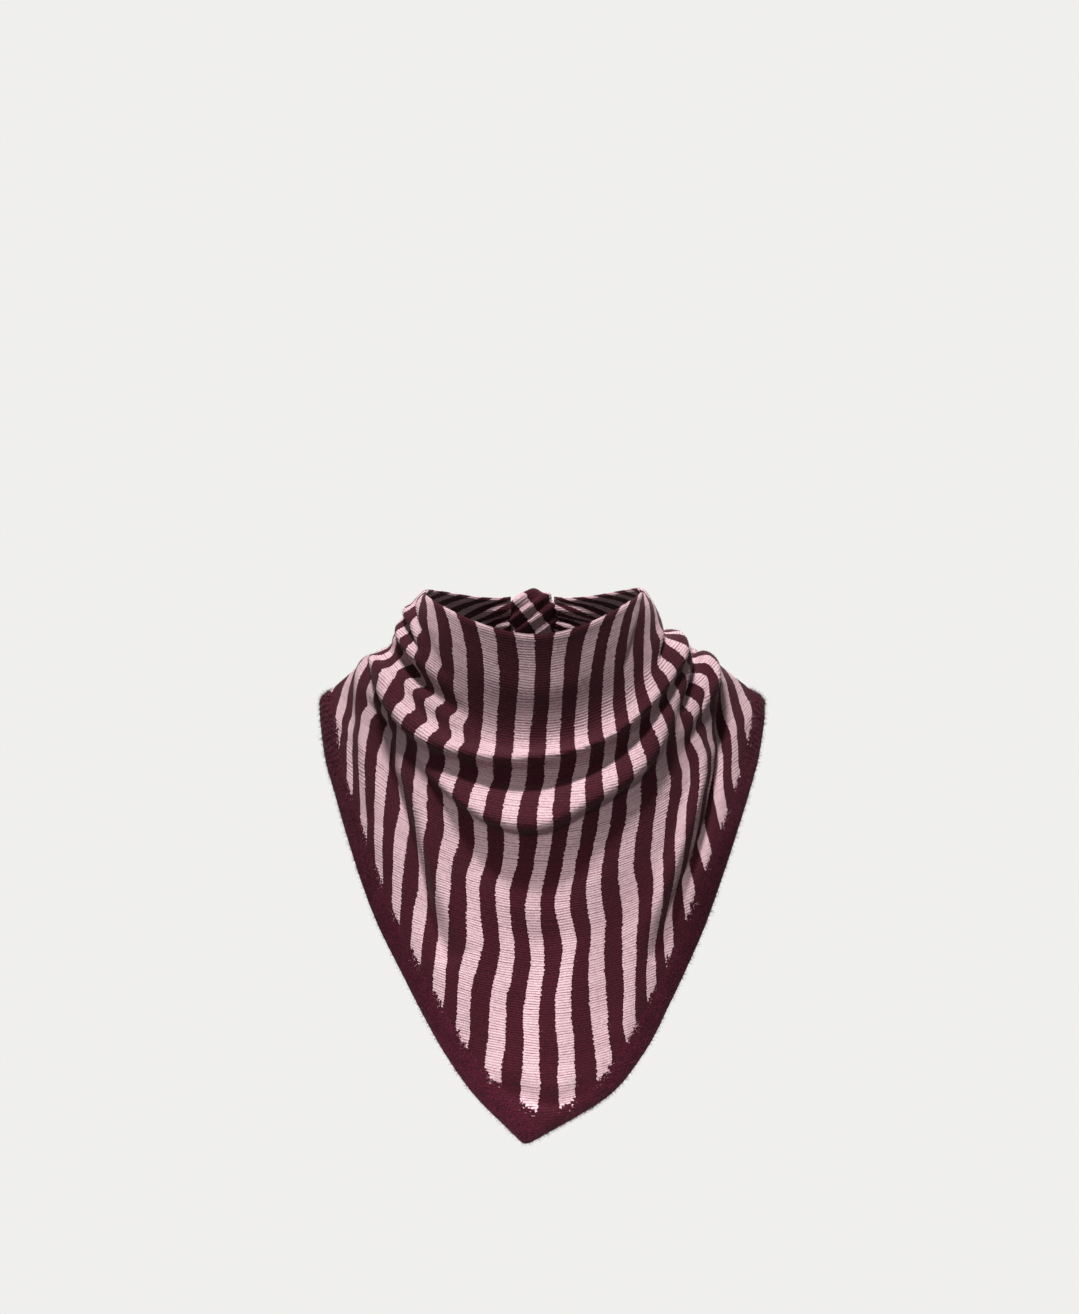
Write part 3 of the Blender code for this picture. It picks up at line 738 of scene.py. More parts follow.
@dataclass
class NodeSketch:
    """Adds and joins nodes in one node tree."""

    tree: bpy.types.NodeTree

    def node(self, kind: str, **settings: object) -> bpy.types.Node:
        """Adds a node.

        Args:
            kind: Its type.
            settings: Its options.

        Returns:
            The node.
        """
        made = self.tree.nodes.new(kind)
        for name, value in settings.items():
            setattr(made, name, value)
        return made

    def feed(self, socket: NodeSocket, value: Value) -> None:
        """Links a socket to another, or sets its constant.

        Args:
            socket: The input to feed.
            value: An output or a constant.
        """
        if isinstance(value, NodeSocket):
            self.tree.links.new(value, socket)
        else:
            socket.default_value = value

    def math(self, operation: str, *values: Value) -> NodeSocket:
        """Adds a Math node.

        Args:
            operation: What it works out.
            values: What it works on.

        Returns:
            Its result.
        """
        made = self.node("ShaderNodeMath", operation=operation)
        for socket, value in zip(made.inputs, values):
            self.feed(socket, value)
        return made.outputs[0]

    def plus(self, first: Value, second: Value) -> NodeSocket:
        """The sum of two values."""
        return self.math("ADD", first, second)

    def times(self, first: Value, second: Value) -> NodeSocket:
        """The product of two values."""
        return self.math("MULTIPLY", first, second)

    def ramp(self, value: Value, step: Step) -> NodeSocket:
        """Takes a value through a smooth step.

        Args:
            value: The value.
            step: Where the step begins and ends.

        Returns:
            A mask from 0 to 1.
        """
        made = self.node("ShaderNodeMapRange", interpolation_type="SMOOTHSTEP")
        self.feed(made.inputs["Value"], value)
        self.feed(made.inputs["From Min"], step.low)
        self.feed(made.inputs["From Max"], step.high)
        return made.outputs["Result"]

    def noise(self, vector: Value, noise: Noise) -> NodeSocket:
        """Adds noise about zero.

        Args:
            vector: Where it is read.
            noise: Its scale, detail and spread.

        Returns:
            The noise.
        """
        made = self.node("ShaderNodeTexNoise", noise_dimensions="3D")
        self.feed(made.inputs["Vector"], vector)
        self.feed(made.inputs["Scale"], noise.scale)
        self.feed(made.inputs["Detail"], noise.detail)
        return self.times(self.math("SUBTRACT", made.outputs["Fac"], 0.5), 2 * noise.spread)

    def mix(self, share: Value, first: Value, second: Value, blend: str = "MIX") -> NodeSocket:
        """Mixes two colours.

        Args:
            share: How much of the second colour.
            first: The first colour.
            second: The second colour.
            blend: How they mix.

        Returns:
            The mixed colour.
        """
        made = self.node("ShaderNodeMix", data_type="RGBA", blend_type=blend)
        self.feed(made.inputs[0], share)
        self.feed(made.inputs[6], first)
        self.feed(made.inputs[7], second)
        return made.outputs[2]


class FlatCloth(NamedTuple):
    """The flat coordinates inside the pattern: both in metres, and each one in millimetres."""

    metres: NodeSocket
    across: NodeSocket
    down: NodeSocket


@dataclass
class StripedKnit:
    """The knit's pattern as a shader group: its stripes, its courses and stitches, and its uneven yarn.

    Sizes are in millimetres of flat cloth. Noises are read at a point in metres, but `ragged` at the
    millimetres of a column of stitches and `strength` at the number of a course.
    """

    cut: FlatCut
    stripe: float = 9.0
    slim: float = 0.12
    stripe_blur: float = 0.06
    slow_drift: Noise = Noise(30.0, 1.0, 1.7)
    quick_drift: Noise = Noise(95.0, 1.0, 0.8)
    fray: Noise = Noise(620.0, 1.0, 0.62)
    scallop: float = 0.3
    scallop_patches: Noise = Noise(150.0, 1.0, 1.0)
    scallop_step: Step = Step(-0.2, 0.3)

    ragged: Noise = Noise(0.41, 0.0, 3.2)
    end_fray: float = 2.0
    end_step: Step = Step(-0.3, 0.3)
    speck: Noise = Noise(760.0, 0.0, 1.0)
    speck_step: Step = Step(0.36, 0.46)
    speck_reach: Step = Step(-5.0, -0.5)
    # How wide and how far the stripes stop short near the middle: the deep yarn left there is painted shade
    # in the trough above the point.
    middle_shade_width: float = 14.0
    middle_shade_lift: float = 7.0

    course: float = 1.4
    stitch: float = 1.5
    vee: float = 0.35
    slip: Noise = Noise(70.0, 1.0, 0.5)
    uneven: Noise = Noise(420.0, 2.0, 0.9)
    groove_step: Step = Step(0.0, 1.0)
    strength: Noise = Noise(0.83, 0.0, 1.0)
    strength_step: Step = Step(-0.35, 0.35)
    weakest: float = 0.4
    strongest: float = 0.95
    course_relief: float = 0.45
    stitch_relief: float = 0.16
    nap: Noise = Noise(2200.0, 3.0, 0.9)
    mottle: Noise = Noise(60.0, 2.0, 0.35)
    fibre: Noise = Noise(760.0, 2.0, 2.6)

    def group(self) -> bpy.types.NodeTree:
        """Builds the group once.

        Returns:
            The group, which puts out Pale (1 on pale yarn), Groove (1 between courses, painted as shade),
            Relief and Tone.
        """
        tree = bpy.data.node_groups.new("striped knit", "ShaderNodeTree")
        tree.interface.new_socket("Flat", in_out="INPUT", socket_type="NodeSocketVector")
        for name in ("Pale", "Groove", "Relief", "Tone"):
            tree.interface.new_socket(name, in_out="OUTPUT", socket_type="NodeSocketFloat")
        sketch = NodeSketch(tree)
        metres = sketch.node("NodeGroupInput").outputs["Flat"]
        apart = sketch.node("ShaderNodeSeparateXYZ")
        sketch.feed(apart.inputs[0], metres)
        flat = FlatCloth(metres, *(sketch.times(apart.outputs[axis], 1 / MM) for axis in "XY"))
        out = sketch.node("NodeGroupOutput")
        sketch.feed(out.inputs["Pale"], self.pale(sketch, flat))
        groove, relief = self.stitches(sketch, flat)
        sketch.feed(out.inputs["Groove"], groove)
        sketch.feed(out.inputs["Relief"], relief)
        tone = sketch.plus(sketch.noise(metres, self.mottle), sketch.noise(metres, self.fibre))
        sketch.feed(out.inputs["Tone"], tone)
        return tree

    def pale(self, sketch: NodeSketch, flat: FlatCloth) -> NodeSocket:
        """The mask of the pale stripes, with scalloped sides and stepped, frayed ends.

        Args:
            sketch: The group's nodes.
            flat: The flat coordinates.

        Returns:
            The mask, 1 on pale yarn.
        """
        drift = sketch.noise(flat.metres, self.slow_drift)
        drift = sketch.plus(drift, sketch.noise(flat.metres, self.quick_drift))
        frayed = sketch.noise(flat.metres, self.fray)
        turn = sketch.times(flat.down, math.tau / (2 * self.course))
        scallop = sketch.times(sketch.math("SINE", turn), self.scallop)
        patchy = sketch.ramp(sketch.noise(flat.metres, self.scallop_patches), self.scallop_step)
        scallop = sketch.times(scallop, patchy)
        reach = sketch.plus(sketch.math("ABSOLUTE", flat.across), drift)
        edge = sketch.plus(reach, sketch.plus(scallop, frayed))
        wave = sketch.math("COSINE", sketch.times(edge, math.pi / self.stripe))
        sides = Step(self.slim - self.stripe_blur, self.slim + self.stripe_blur)
        stripe = sketch.ramp(sketch.times(wave, -1.0), sides)
        inside = self.inside(sketch, flat, reach, edge, frayed)
        return sketch.times(stripe, inside)

    def inside(
        self, sketch: NodeSketch, flat: FlatCloth, reach: NodeSocket, edge: NodeSocket, frayed: NodeSocket
    ) -> NodeSocket:
        """The mask of the panel inside the border, where each column of stitches ends at its own course, and
        ends earlier near the middle so that deep yarn paints the shade of the trough above the point.

        Args:
            sketch: The group's nodes.
            flat: The flat coordinates.
            reach: The millimetres from the middle, drift included.
            edge: The same with scallops and fray.
            frayed: The fray of the yarn.

        Returns:
            The mask, 1 where stripes run and in the specks of pale yarn beyond their ends.
        """
        column = sketch.times(sketch.math("CEIL", sketch.math("DIVIDE", edge, self.stitch)), self.stitch)
        limit = sketch.math("MULTIPLY_ADD", column, -self.cut.slope, self.cut.panel_height)
        column = sketch.times(column, sketch.math("SIGN", flat.across))
        limit = sketch.plus(limit, sketch.noise(column, self.ragged))
        # Near the middle the stripes stop short, so the deep yarn paints the shade of the trough above the
        # point.
        near = sketch.times(reach, 1 / self.middle_shade_width)
        near = sketch.math("EXPONENT", sketch.times(sketch.times(near, near), -1.0))
        limit = sketch.math("MULTIPLY_ADD", near, -self.middle_shade_lift, limit)
        short = sketch.math("SUBTRACT", limit, flat.down)
        ragged = sketch.plus(short, sketch.times(frayed, self.end_fray))
        inside = sketch.ramp(ragged, self.end_step)
        speck = sketch.ramp(sketch.noise(flat.metres, self.speck), self.speck_step)
        close = sketch.ramp(short, self.speck_reach)
        return sketch.math("MAXIMUM", inside, sketch.times(speck, close))

    def stitches(self, sketch: NodeSketch, flat: FlatCloth) -> tuple[NodeSocket, NodeSocket]:
        """The rows of stitches.

        Args:
            sketch: The group's nodes.
            flat: The flat coordinates.

        Returns:
            The grooves between courses, where the finish paints shade, and the height of the stitches.
        """
        vee = sketch.times(sketch.math("PINGPONG", flat.across, self.stitch / 2), self.vee)
        slip = sketch.noise(flat.metres, self.slip)
        phase = sketch.math("DIVIDE", sketch.plus(flat.down, vee), self.course)
        phase = sketch.plus(phase, slip)
        crest = sketch.math("COSINE", sketch.times(phase, math.tau))
        uneven = sketch.noise(flat.metres, self.uneven)
        groove = sketch.ramp(sketch.plus(sketch.times(crest, -1.0), uneven), self.groove_step)
        course = sketch.math("FLOOR", phase)
        strength = sketch.ramp(sketch.noise(course, self.strength), self.strength_step)
        gain = sketch.math("MULTIPLY_ADD", strength, self.strongest - self.weakest, self.weakest)
        groove = sketch.times(groove, gain)
        column = sketch.math("COSINE", sketch.times(flat.across, math.tau / self.stitch))
        nap = sketch.noise(flat.metres, self.nap)
        relief = sketch.math(
            "MULTIPLY_ADD", crest, self.course_relief, sketch.times(column, self.stitch_relief)
        )
        return groove, sketch.plus(relief, nap)


@dataclass(frozen=True)
class CashmereFinish:
    """Brushed cashmere knit in one pale and one deep yarn, each with a darker copy painted as shade in the
    grooves between courses.
    """

    name: str
    pale: Colour = (0.68, 0.465, 0.505, 1)
    # The darker copies of each yarn are painted shade for the grooves between courses.
    pale_painted_shade: Colour = (0.25, 0.10, 0.13, 1)
    deep: Colour = (0.05, 0.0042, 0.0115, 1)
    deep_painted_shade: Colour = (0.022, 0.0018, 0.005, 1)
    tone: float = 0.2
    pale_gain: float = 0.7
    deep_gain: float = 2.0
    bump: float = 0.6
    bump_height: float = 0.35
    roughness: float = 0.95
    specular: float = 0.15
    sheen: float = 0.06
    sheen_roughness: float = 0.5
    sheen_tint: Colour = (1.0, 0.72, 0.80, 1)

    def material(self, pattern: bpy.types.NodeTree) -> bpy.types.Material:
        """The finish as a material that reads the cloth's flat coordinates.

        Args:
            pattern: The knit's pattern.

        Returns:
            The material.
        """
        made = bpy.data.materials.new(self.name)
        made.use_nodes = True
        sketch = NodeSketch(made.node_tree)
        shader = made.node_tree.nodes["Principled BSDF"]
        flat = sketch.node("ShaderNodeUVMap", uv_map=FLAT_MAP).outputs["UV"]
        knit = sketch.node("ShaderNodeGroup", node_tree=pattern)
        sketch.feed(knit.inputs["Flat"], flat)
        sketch.feed(shader.inputs["Base Color"], self.colour(sketch, knit))
        constants = {
            "Roughness": self.roughness,
            "Specular IOR Level": self.specular,
            "Sheen Weight": self.sheen,
            "Sheen Roughness": self.sheen_roughness,
            "Sheen Tint": self.sheen_tint,
        }
        for socket, value in constants.items():
            shader.inputs[socket].default_value = value
        if self.bump:
            bump = sketch.node("ShaderNodeBump")
            bump.inputs["Strength"].default_value = self.bump
            bump.inputs["Distance"].default_value = self.bump_height * MM
            sketch.feed(bump.inputs["Height"], knit.outputs["Relief"])
            sketch.feed(shader.inputs["Normal"], bump.outputs["Normal"])
        return made

    def colour(self, sketch: NodeSketch, knit: bpy.types.Node) -> NodeSocket:
        """The yarn's colour, with painted shade in the grooves between courses, and uneven in tone.

        Args:
            sketch: The material's nodes.
            knit: The knit's pattern.

        Returns:
            The colour.
        """
        # Between courses each yarn turns to its darker copy: painted shade in the grooves.
        groove, pale = knit.outputs["Groove"], knit.outputs["Pale"]
        light = sketch.mix(groove, self.pale, self.pale_painted_shade)
        dark = sketch.mix(groove, self.deep, self.deep_painted_shade)
        colour = sketch.mix(pale, dark, light)
        change = (self.pale_gain - self.deep_gain) * self.tone
        depth = sketch.math("MULTIPLY_ADD", pale, change, self.deep_gain * self.tone)
        gain = sketch.math("MULTIPLY_ADD", knit.outputs["Tone"], depth, 1.0)
        level = sketch.node("ShaderNodeCombineColor")
        for socket in level.inputs:
            sketch.feed(socket, gain)
        return sketch.mix(1.0, colour, level.outputs[0], "MULTIPLY")


def take_mesh(name: str, mesh: bmesh.types.BMesh) -> bpy.types.Mesh:
    """Turns a finished mesh into mesh data, and frees it.

    Args:
        name: The data's name.
        mesh: The finished mesh.

    Returns:
        The mesh data.
    """
    data = bpy.data.meshes.new(name)
    mesh.to_mesh(data)
    mesh.free()
    return data


def add_piece(data: bpy.types.Mesh, material: bpy.types.Material) -> bpy.types.Object:
    """Adds mesh data to the scene as a piece of the scarf, named as its data is.

    Args:
        data: The finished mesh data.
        material: Its finish.

    Returns:
        The piece, riding on the scarf's only body.
    """
    data.materials.append(material)
    piece = bpy.data.objects.new(data.name, data)
    bpy.context.scene.collection.objects.link(piece)
    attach(piece, BODY)
    return piece


def closed_piece(name: str, mesh: bmesh.types.BMesh, material: bpy.types.Material) -> bpy.types.Object:
    """Makes a closed mesh into a smooth piece of the scarf.

    Args:
        name: The piece's name.
        mesh: The closed mesh, which is used up.
        material: Its finish.

    Returns:
        The piece, with its faces outwards.
    """
    bmesh.ops.recalc_face_normals(mesh, faces=mesh.faces)
    if mesh.calc_volume(signed=True) < 0:
        bmesh.ops.reverse_faces(mesh, faces=mesh.faces)
    data = take_mesh(name, mesh)
    data.shade_smooth()
    data.set_sharp_from_angle(angle=math.radians(SHARP_DEGREES))
    return add_piece(data, material)


def write_flat(mesh: bmesh.types.BMesh, flat: np.ndarray) -> None:
    """Keeps the cloth's flat coordinates as its UV map.

    Args:
        mesh: The cloth's mesh, with its vertices numbered.
        flat: The flat coordinates of each vertex, in metres.
    """
    layer = mesh.loops.layers.uv.new(FLAT_MAP)
    pairs = flat.tolist()
    for face in mesh.faces:
        for loop in face.loops:
            loop[layer].uv = pairs[loop.vert.index]


def read_all(items: bpy.types.bpy_prop_collection, name: str, width: int, kind: type = float) -> np.ndarray:
    """Reads one property of all items of mesh data.

    Args:
        items: Its faces, edges, corners or vertices.
        name: The property.
        width: How many numbers each item has.
        kind: Their kind.

    Returns:
        One row of numbers for each item.
    """
    values = np.empty(len(items) * width, kind)
    items.foreach_get(name, values)
    return values.reshape(-1, width)


@dataclass
class KnittedTriangle:
    """The one knitted cloth, in two pieces that meet stitch by stitch: the striped panel and its border.

    Sizes are in millimetres. A point nearer than `snap` to a cut counts as on it.
    """

    cut: FlatCut
    drape: Drape
    columns: int = 192
    border_lanes: int = 10
    weld: float = 0.01
    snap: float = 0.02
    wall: float = 1.9
    rim_thinning: float = 0.6
    edge_thinning: float = 0.75
    round_over: float = 1.5
    hem: float = 0.35
    hem_down: float = 3.2
    hem_width: float = 2.0
    border_swell: float = 0.25

    def half_wall(self, across: np.ndarray, down: np.ndarray) -> np.ndarray:
        """Half the cloth's thickness: rounded at its edges, with a soft hem along the rim.

        Args:
            across: Flat coordinates along the long edge.
            down: Flat coordinates towards the point.

        Returns:
            Half the thickness at each point.
        """
        rim = 1 - self.rim_thinning * np.clip(1 - down / self.round_over, 0, 1) ** 2
        hem = self.hem * np.exp(-(((down - self.hem_down) / self.hem_width) ** 2))
        outside = (self.cut.edge_across(down) - np.abs(across)) * self.cut.slope
        outside /= math.hypot(1, self.cut.slope)
        edge = 1 - self.edge_thinning * np.clip(1 - outside / (2 * self.round_over), 0, 1) ** 2
        swell = self.border_swell * np.clip(np.sin(math.pi * np.clip(outside / self.cut.border, 0, 1)), 0, 1)
        return (self.wall / 2) * rim * edge + hem * edge + swell * rim

    def panel_flat(self) -> bmesh.types.BMesh:
        """The striped panel, flat.

        Returns:
            The panel's mesh, with the flat coordinates as its X and Y.
        """
        mesh = bmesh.new()
        bmesh.ops.create_grid(mesh, x_segments=2 * self.columns, y_segments=self.columns, size=0.5)
        bmesh.ops.scale(mesh, vec=(2 * self.cut.panel_half, self.cut.panel_height, 1), verts=mesh.verts)
        bmesh.ops.translate(mesh, vec=(0, self.cut.panel_height / 2, 0), verts=mesh.verts)
        for side in Side:
            self.trim(mesh, (0, self.cut.panel_height), (side.value * self.cut.panel_half, 0))
        return mesh

    def border_flat(self) -> bmesh.types.BMesh:
        """Both runs of the border, flat and joined at the point.

        Returns:
            The border's mesh, with the flat coordinates as its X and Y.
        """
        mesh = bmesh.new()
        for side in Side:
            run = bmesh.ops.create_grid(mesh, x_segments=self.columns, y_segments=self.border_lanes, size=0.5)
            for vertex in run["verts"]:
                place = vertex.co.x + 0.5
                width = vertex.co.y + 0.5
                half = self.cut.panel_half + (self.cut.half_edge - self.cut.panel_half) * width
                vertex.co.x = side.value * place * half
                vertex.co.y = (1 - place) * half * self.cut.slope
        bmesh.ops.remove_doubles(mesh, verts=mesh.verts, dist=self.weld)
        return mesh

    def trim(self, mesh: bmesh.types.BMesh, start: Pair, end: Pair) -> None:
        """Cuts flat cloth along a line and clears the side away from the middle of the long edge.

        Args:
            mesh: The flat cloth.
            start: One flat point of the line.
            end: Another flat point of it.
        """
        along = Vector((end[0] - start[0], end[1] - start[1], 0))
        outward = Vector((along.y, -along.x, 0))
        if outward.x * start[0] + outward.y * start[1] < 0:
            outward = -outward
        bmesh.ops.bisect_plane(
            mesh,
            geom=mesh.verts[:] + mesh.edges[:] + mesh.faces[:],
            dist=self.snap,
            plane_co=Vector((start[0], start[1], 0)),
            plane_no=outward,
            clear_outer=True,
        )

    @staticmethod
    def order_walls(mesh: bmesh.types.BMesh, outer: list[int]) -> None:
        """Sorts the faces along the cut edges by place, because extrusion leaves their order to chance.

        Args:
            mesh: The flat cloth with its wall.
            outer: The numbers of its outer vertices.
        """
        mesh.faces.index_update()
        above = set(outer)
        walls = [face for face in mesh.faces if len({vertex.index in above for vertex in face.verts}) == 2]
        numbers = [face.index for face in walls]
        walls.sort(key=lambda face: tuple(round(value, 3) for value in face.calc_center_median().xy))
        for number, face in zip(numbers, walls):
            face.index = number
        mesh.faces.sort()

    def worn(
        self, name: str, mesh: bmesh.types.BMesh, material: bpy.types.Material
    ) -> tuple[bpy.types.Object, float]:
        """Gives flat cloth its wall, drapes it and finishes it.

        Args:
            name: The piece's name.
            mesh: The flat cloth.
            material: Its finish.

        Returns:
            The piece, and its flat area in square metres.
        """
        for side in Side:
            gather = GATHERS[side]
            start = (side.value * gather.knot_rim, 0)
            self.trim(mesh, start, (side.value * gather.knot_edge, gather.knot_down))
        area = sum(face.calc_area() for face in mesh.faces) * MM * MM
        made = bmesh.ops.extrude_face_region(mesh, geom=mesh.faces[:], use_keep_orig=True)
        mesh.verts.index_update()
        outer = [part.index for part in made["geom"] if isinstance(part, bmesh.types.BMVert)]
        self.order_walls(mesh, outer)
        flat = np.array([vertex.co[:2] for vertex in mesh.verts])
        write_flat(mesh, flat * MM)
        half = self.half_wall(flat[:, 0], flat[:, 1])
        lift = -half
        lift[outer] = half[outer]
        places = self.drape.place(flat[:, 0], flat[:, 1], lift) * MM
        for vertex, place in zip(mesh.verts, places):
            vertex.co = place
        return closed_piece(name, mesh, material), area


@dataclass
class NapeKnot:
    """The small knot behind the neck. Sizes are in millimetres and the slant of its wraps in radians."""

    centre: Triple = (0.0, 74.0, 42.0)
    size: Triple = (30.0, 24.0, 38.0)
    squareness: float = 2.7
    fineness: int = 23
    groove_pitch: float = 7.5
    groove_depth: float = 0.9
    slant: float = 0.62
    pattern_across: float = 205.0
    pattern_down: float = 10.0

    def build(self, material: bpy.types.Material) -> bpy.types.Object:
        """The wound body of the knot, grooved along the wraps of cloth.

        Args:
            material: Its finish.

        Returns:
            The knot.
        """
        mesh = bmesh.new()
        bmesh.ops.create_cube(mesh, size=1)
        bmesh.ops.subdivide_edges(mesh, edges=mesh.edges[:], cuts=self.fineness, use_grid_fill=True)
        mesh.verts.index_update()
        half = Vector(self.size) / 2
        flat = np.empty((len(mesh.verts), 2))
        for vertex in mesh.verts:
            heading = vertex.co.normalized()
            share = sum(abs(heading[axis] / half[axis]) ** self.squareness for axis in range(3))
            place = heading * share ** (-1 / self.squareness)
            along_wrap = place.x * math.cos(self.slant) + place.z * math.sin(self.slant)
            across_wrap = place.z * math.cos(self.slant) - place.x * math.sin(self.slant)
            groove = self.groove_depth * (math.cos(math.tau * across_wrap / self.groove_pitch) - 1)
            vertex.co = (place + heading * groove + Vector(self.centre)) * MM
            flat[vertex.index] = self.pattern_across + along_wrap, self.pattern_down + across_wrap
        write_flat(mesh, flat * MM)
        return closed_piece("knot_wrap", mesh, material)


@dataclass
class FreeEnd:
    """One free end: it leaves the knot gathered, opens out and runs to its soft tip.

    Sizes are in millimetres and the lean in degrees.
    """

    side: Side
    knot: NapeKnot
    length: float = 56.0
    width: float = 30.0
    columns: int = 28
    rows: int = 48
    flat_across: float = 262.0
    start_x: float = 9.5
    lean: float = 27.0
    back: float = 6.0
    throat: float = 15.0
    spread: float = 11.0
    spread_start: float = 0.8
    tip: float = 1.5
    pleat: float = 2.5
    pleats: float = 1.6
    pleat_loss: float = 0.7
    curl: float = 1.2
    opening: float = 4.0
    wall: float = 1.8

    def build(self, material: bpy.types.Material) -> bpy.types.Object:
        """Shapes the flat strip as it hangs.

        Args:
            material: Its finish.

        Returns:
            The free end, with its wall as a live modifier.
        """
        mesh = bmesh.new()
        bmesh.ops.create_grid(mesh, x_segments=self.columns, y_segments=self.rows, size=0.5)
        mesh.verts.index_update()
        flat = np.empty((len(mesh.verts), 2))
        lean = math.radians(self.lean)
        top = self.knot.centre[2] - self.knot.size[2] / 2
        for vertex in mesh.verts:
            width, along = vertex.co.x * 2, vertex.co.y + 0.5
            reach = self.length * along
            flat_width = self.width * (vertex.co.x + 0.5) * (1 - along)
            flat[vertex.index] = self.side.value * (self.flat_across + reach), flat_width
            half = self.throat / 2 * (1 - along) + self.tip * along
            half += self.spread * math.sin(math.pi * along**self.spread_start)
            pleat = self.pleat * math.cos(self.pleats * math.pi * width)
            pleat *= 1 - self.pleat_loss * along
            curl = self.curl * width * width * math.sin(math.pi * along)
            opened = min(1, self.opening * along)
            x = self.start_x + reach * math.sin(lean) + half * width * math.cos(lean)
            y = self.knot.centre[1] + self.back * along + pleat - curl
            z = top - reach * math.cos(lean) + half * width * math.sin(lean) * opened
            vertex.co = Vector((self.side.value * x, y, z)) * MM
        write_flat(mesh, flat * MM)
        data = take_mesh("end_cloth_" + self.side.word, mesh)
        data.shade_smooth()
        piece = add_piece(data, material)
        wall = piece.modifiers.new("wall", "SOLIDIFY")
        wall.thickness = self.wall * MM
        wall.offset = 0
        return piece


@dataclass
class Halo:
    """The fine loose hairs of brushed cashmere, each a thin closed spike rooted in the cloth.

    Sizes are in millimetres, and the rest are shares of a hair's heading.
    """

    name: str
    hairs: int
    length: float
    width: float
    seed: int
    shortest: float = 0.35
    scatter: float = 1.2
    sink: float = 0.15
    lie: float = 1.1
    flatten: float = 0.6
    least_rise: float = 0.15
    raise_by: float = 0.6
    beside: Triple = (0.31, 0.52, 0.79)

    def hair_mesh(self) -> bmesh.types.BMesh:
        """Makes all hairs on one spot, by doubling one spike.

        Returns:
            The hairs, each with its foot below the origin and its tip above.
        """
        mesh = bmesh.new()
        bmesh.ops.create_cone(mesh, segments=3, cap_ends=True, radius1=0.5, radius2=0, depth=1)
        spike = len(mesh.verts)
        while len(mesh.verts) < spike * self.hairs:
            spare = self.hairs - len(mesh.verts) // spike
            vertices = mesh.verts[: spike * spare]
            chosen = set(vertices)
            faces = [face for face in mesh.faces if all(vertex in chosen for vertex in face.verts)]
            bmesh.ops.duplicate(mesh, geom=vertices + faces)
        return mesh

    def grow(self, cloth: bpy.types.Object, material: bpy.types.Material) -> bpy.types.Object:
        """Grows the hairs out of a finished piece of cloth.

        Args:
            cloth: The piece they are rooted in.
            material: Their finish, which reads the cloth's colour at each root.

        Returns:
            The hairs as one piece.
        """
        chance = np.random.default_rng(self.seed)
        faces = cloth.data.polygons
        areas = read_all(faces, "area", 1)[:, 0]
        chosen = chance.choice(len(faces), self.hairs, p=areas / areas.sum())
        outward = read_all(faces, "normal", 3)[chosen]
        shift = chance.uniform(-0.5, 0.5, (self.hairs, 3)) * (self.scatter * MM)
        shift -= (shift * outward).sum(axis=1, keepdims=True) * outward
        root = read_all(faces, "center", 3)[chosen] + shift - outward * self.sink * MM
        lean = chance.normal(size=(self.hairs, 3)) * self.lie
        upright = (lean * outward).sum(axis=1, keepdims=True) * outward
        heading = unit(outward + lean - upright * self.flatten)
        low = (heading * outward).sum(axis=1) < self.least_rise
        heading[low] = unit(heading[low] + self.raise_by * outward[low])
        side = unit(np.cross(heading, self.beside))
        other = np.cross(heading, side)
        long = self.length * MM * chance.uniform(self.shortest, 1.0, self.hairs)
        corners = read_all(faces, "loop_start", 1, int)[chosen, 0]
        roots_flat = read_all(cloth.data.uv_layers[FLAT_MAP].data, "uv", 2)[corners]

        mesh = self.hair_mesh()
        spike = len(mesh.verts) // self.hairs
        data = take_mesh(self.name, mesh)
        own = read_all(data.vertices, "co", 3)
        which = self.which_hair(data, spike)
        places = root[which] + (own[:, 2:] + 0.5) * long[which, None] * heading[which]
        places += (own[:, :1] * side[which] + own[:, 1:2] * other[which]) * self.width * MM
        data.vertices.foreach_set("co", places.ravel())
        layer = data.uv_layers.new(name=FLAT_MAP)
        vertices = read_all(data.loops, "vertex_index", 1, int)[:, 0]
        layer.data.foreach_set("uv", roots_flat[which[vertices]].ravel())
        data.update()
        return add_piece(data, material)

    @staticmethod
    def which_hair(data: bpy.types.Mesh, spike: int) -> np.ndarray:
        """Finds the hair that each vertex belongs to, by passing the lowest number along the edges.

        Args:
            data: All hairs.
            spike: How many vertices one hair has.

        Returns:
            The number of each vertex's hair.
        """
        which = np.arange(len(data.vertices))
        ends = read_all(data.edges, "vertices", 2, int)
        for _ in range(spike):
            lowest = np.minimum(which[ends[:, 0]], which[ends[:, 1]])
            np.minimum.at(which, ends[:, 0], lowest)
            np.minimum.at(which, ends[:, 1], lowest)
        return np.unique(which, return_inverse=True)[1]


@dataclass(frozen=True)
class Lamp:
    """A soft square light: where it stands, its size, power, aim and the degrees its beam spreads."""

    name: str
    place: Triple
    size: float
    power: float
    aim: Triple = (0, -0.05, -0.06)
    spread: float = 180.0


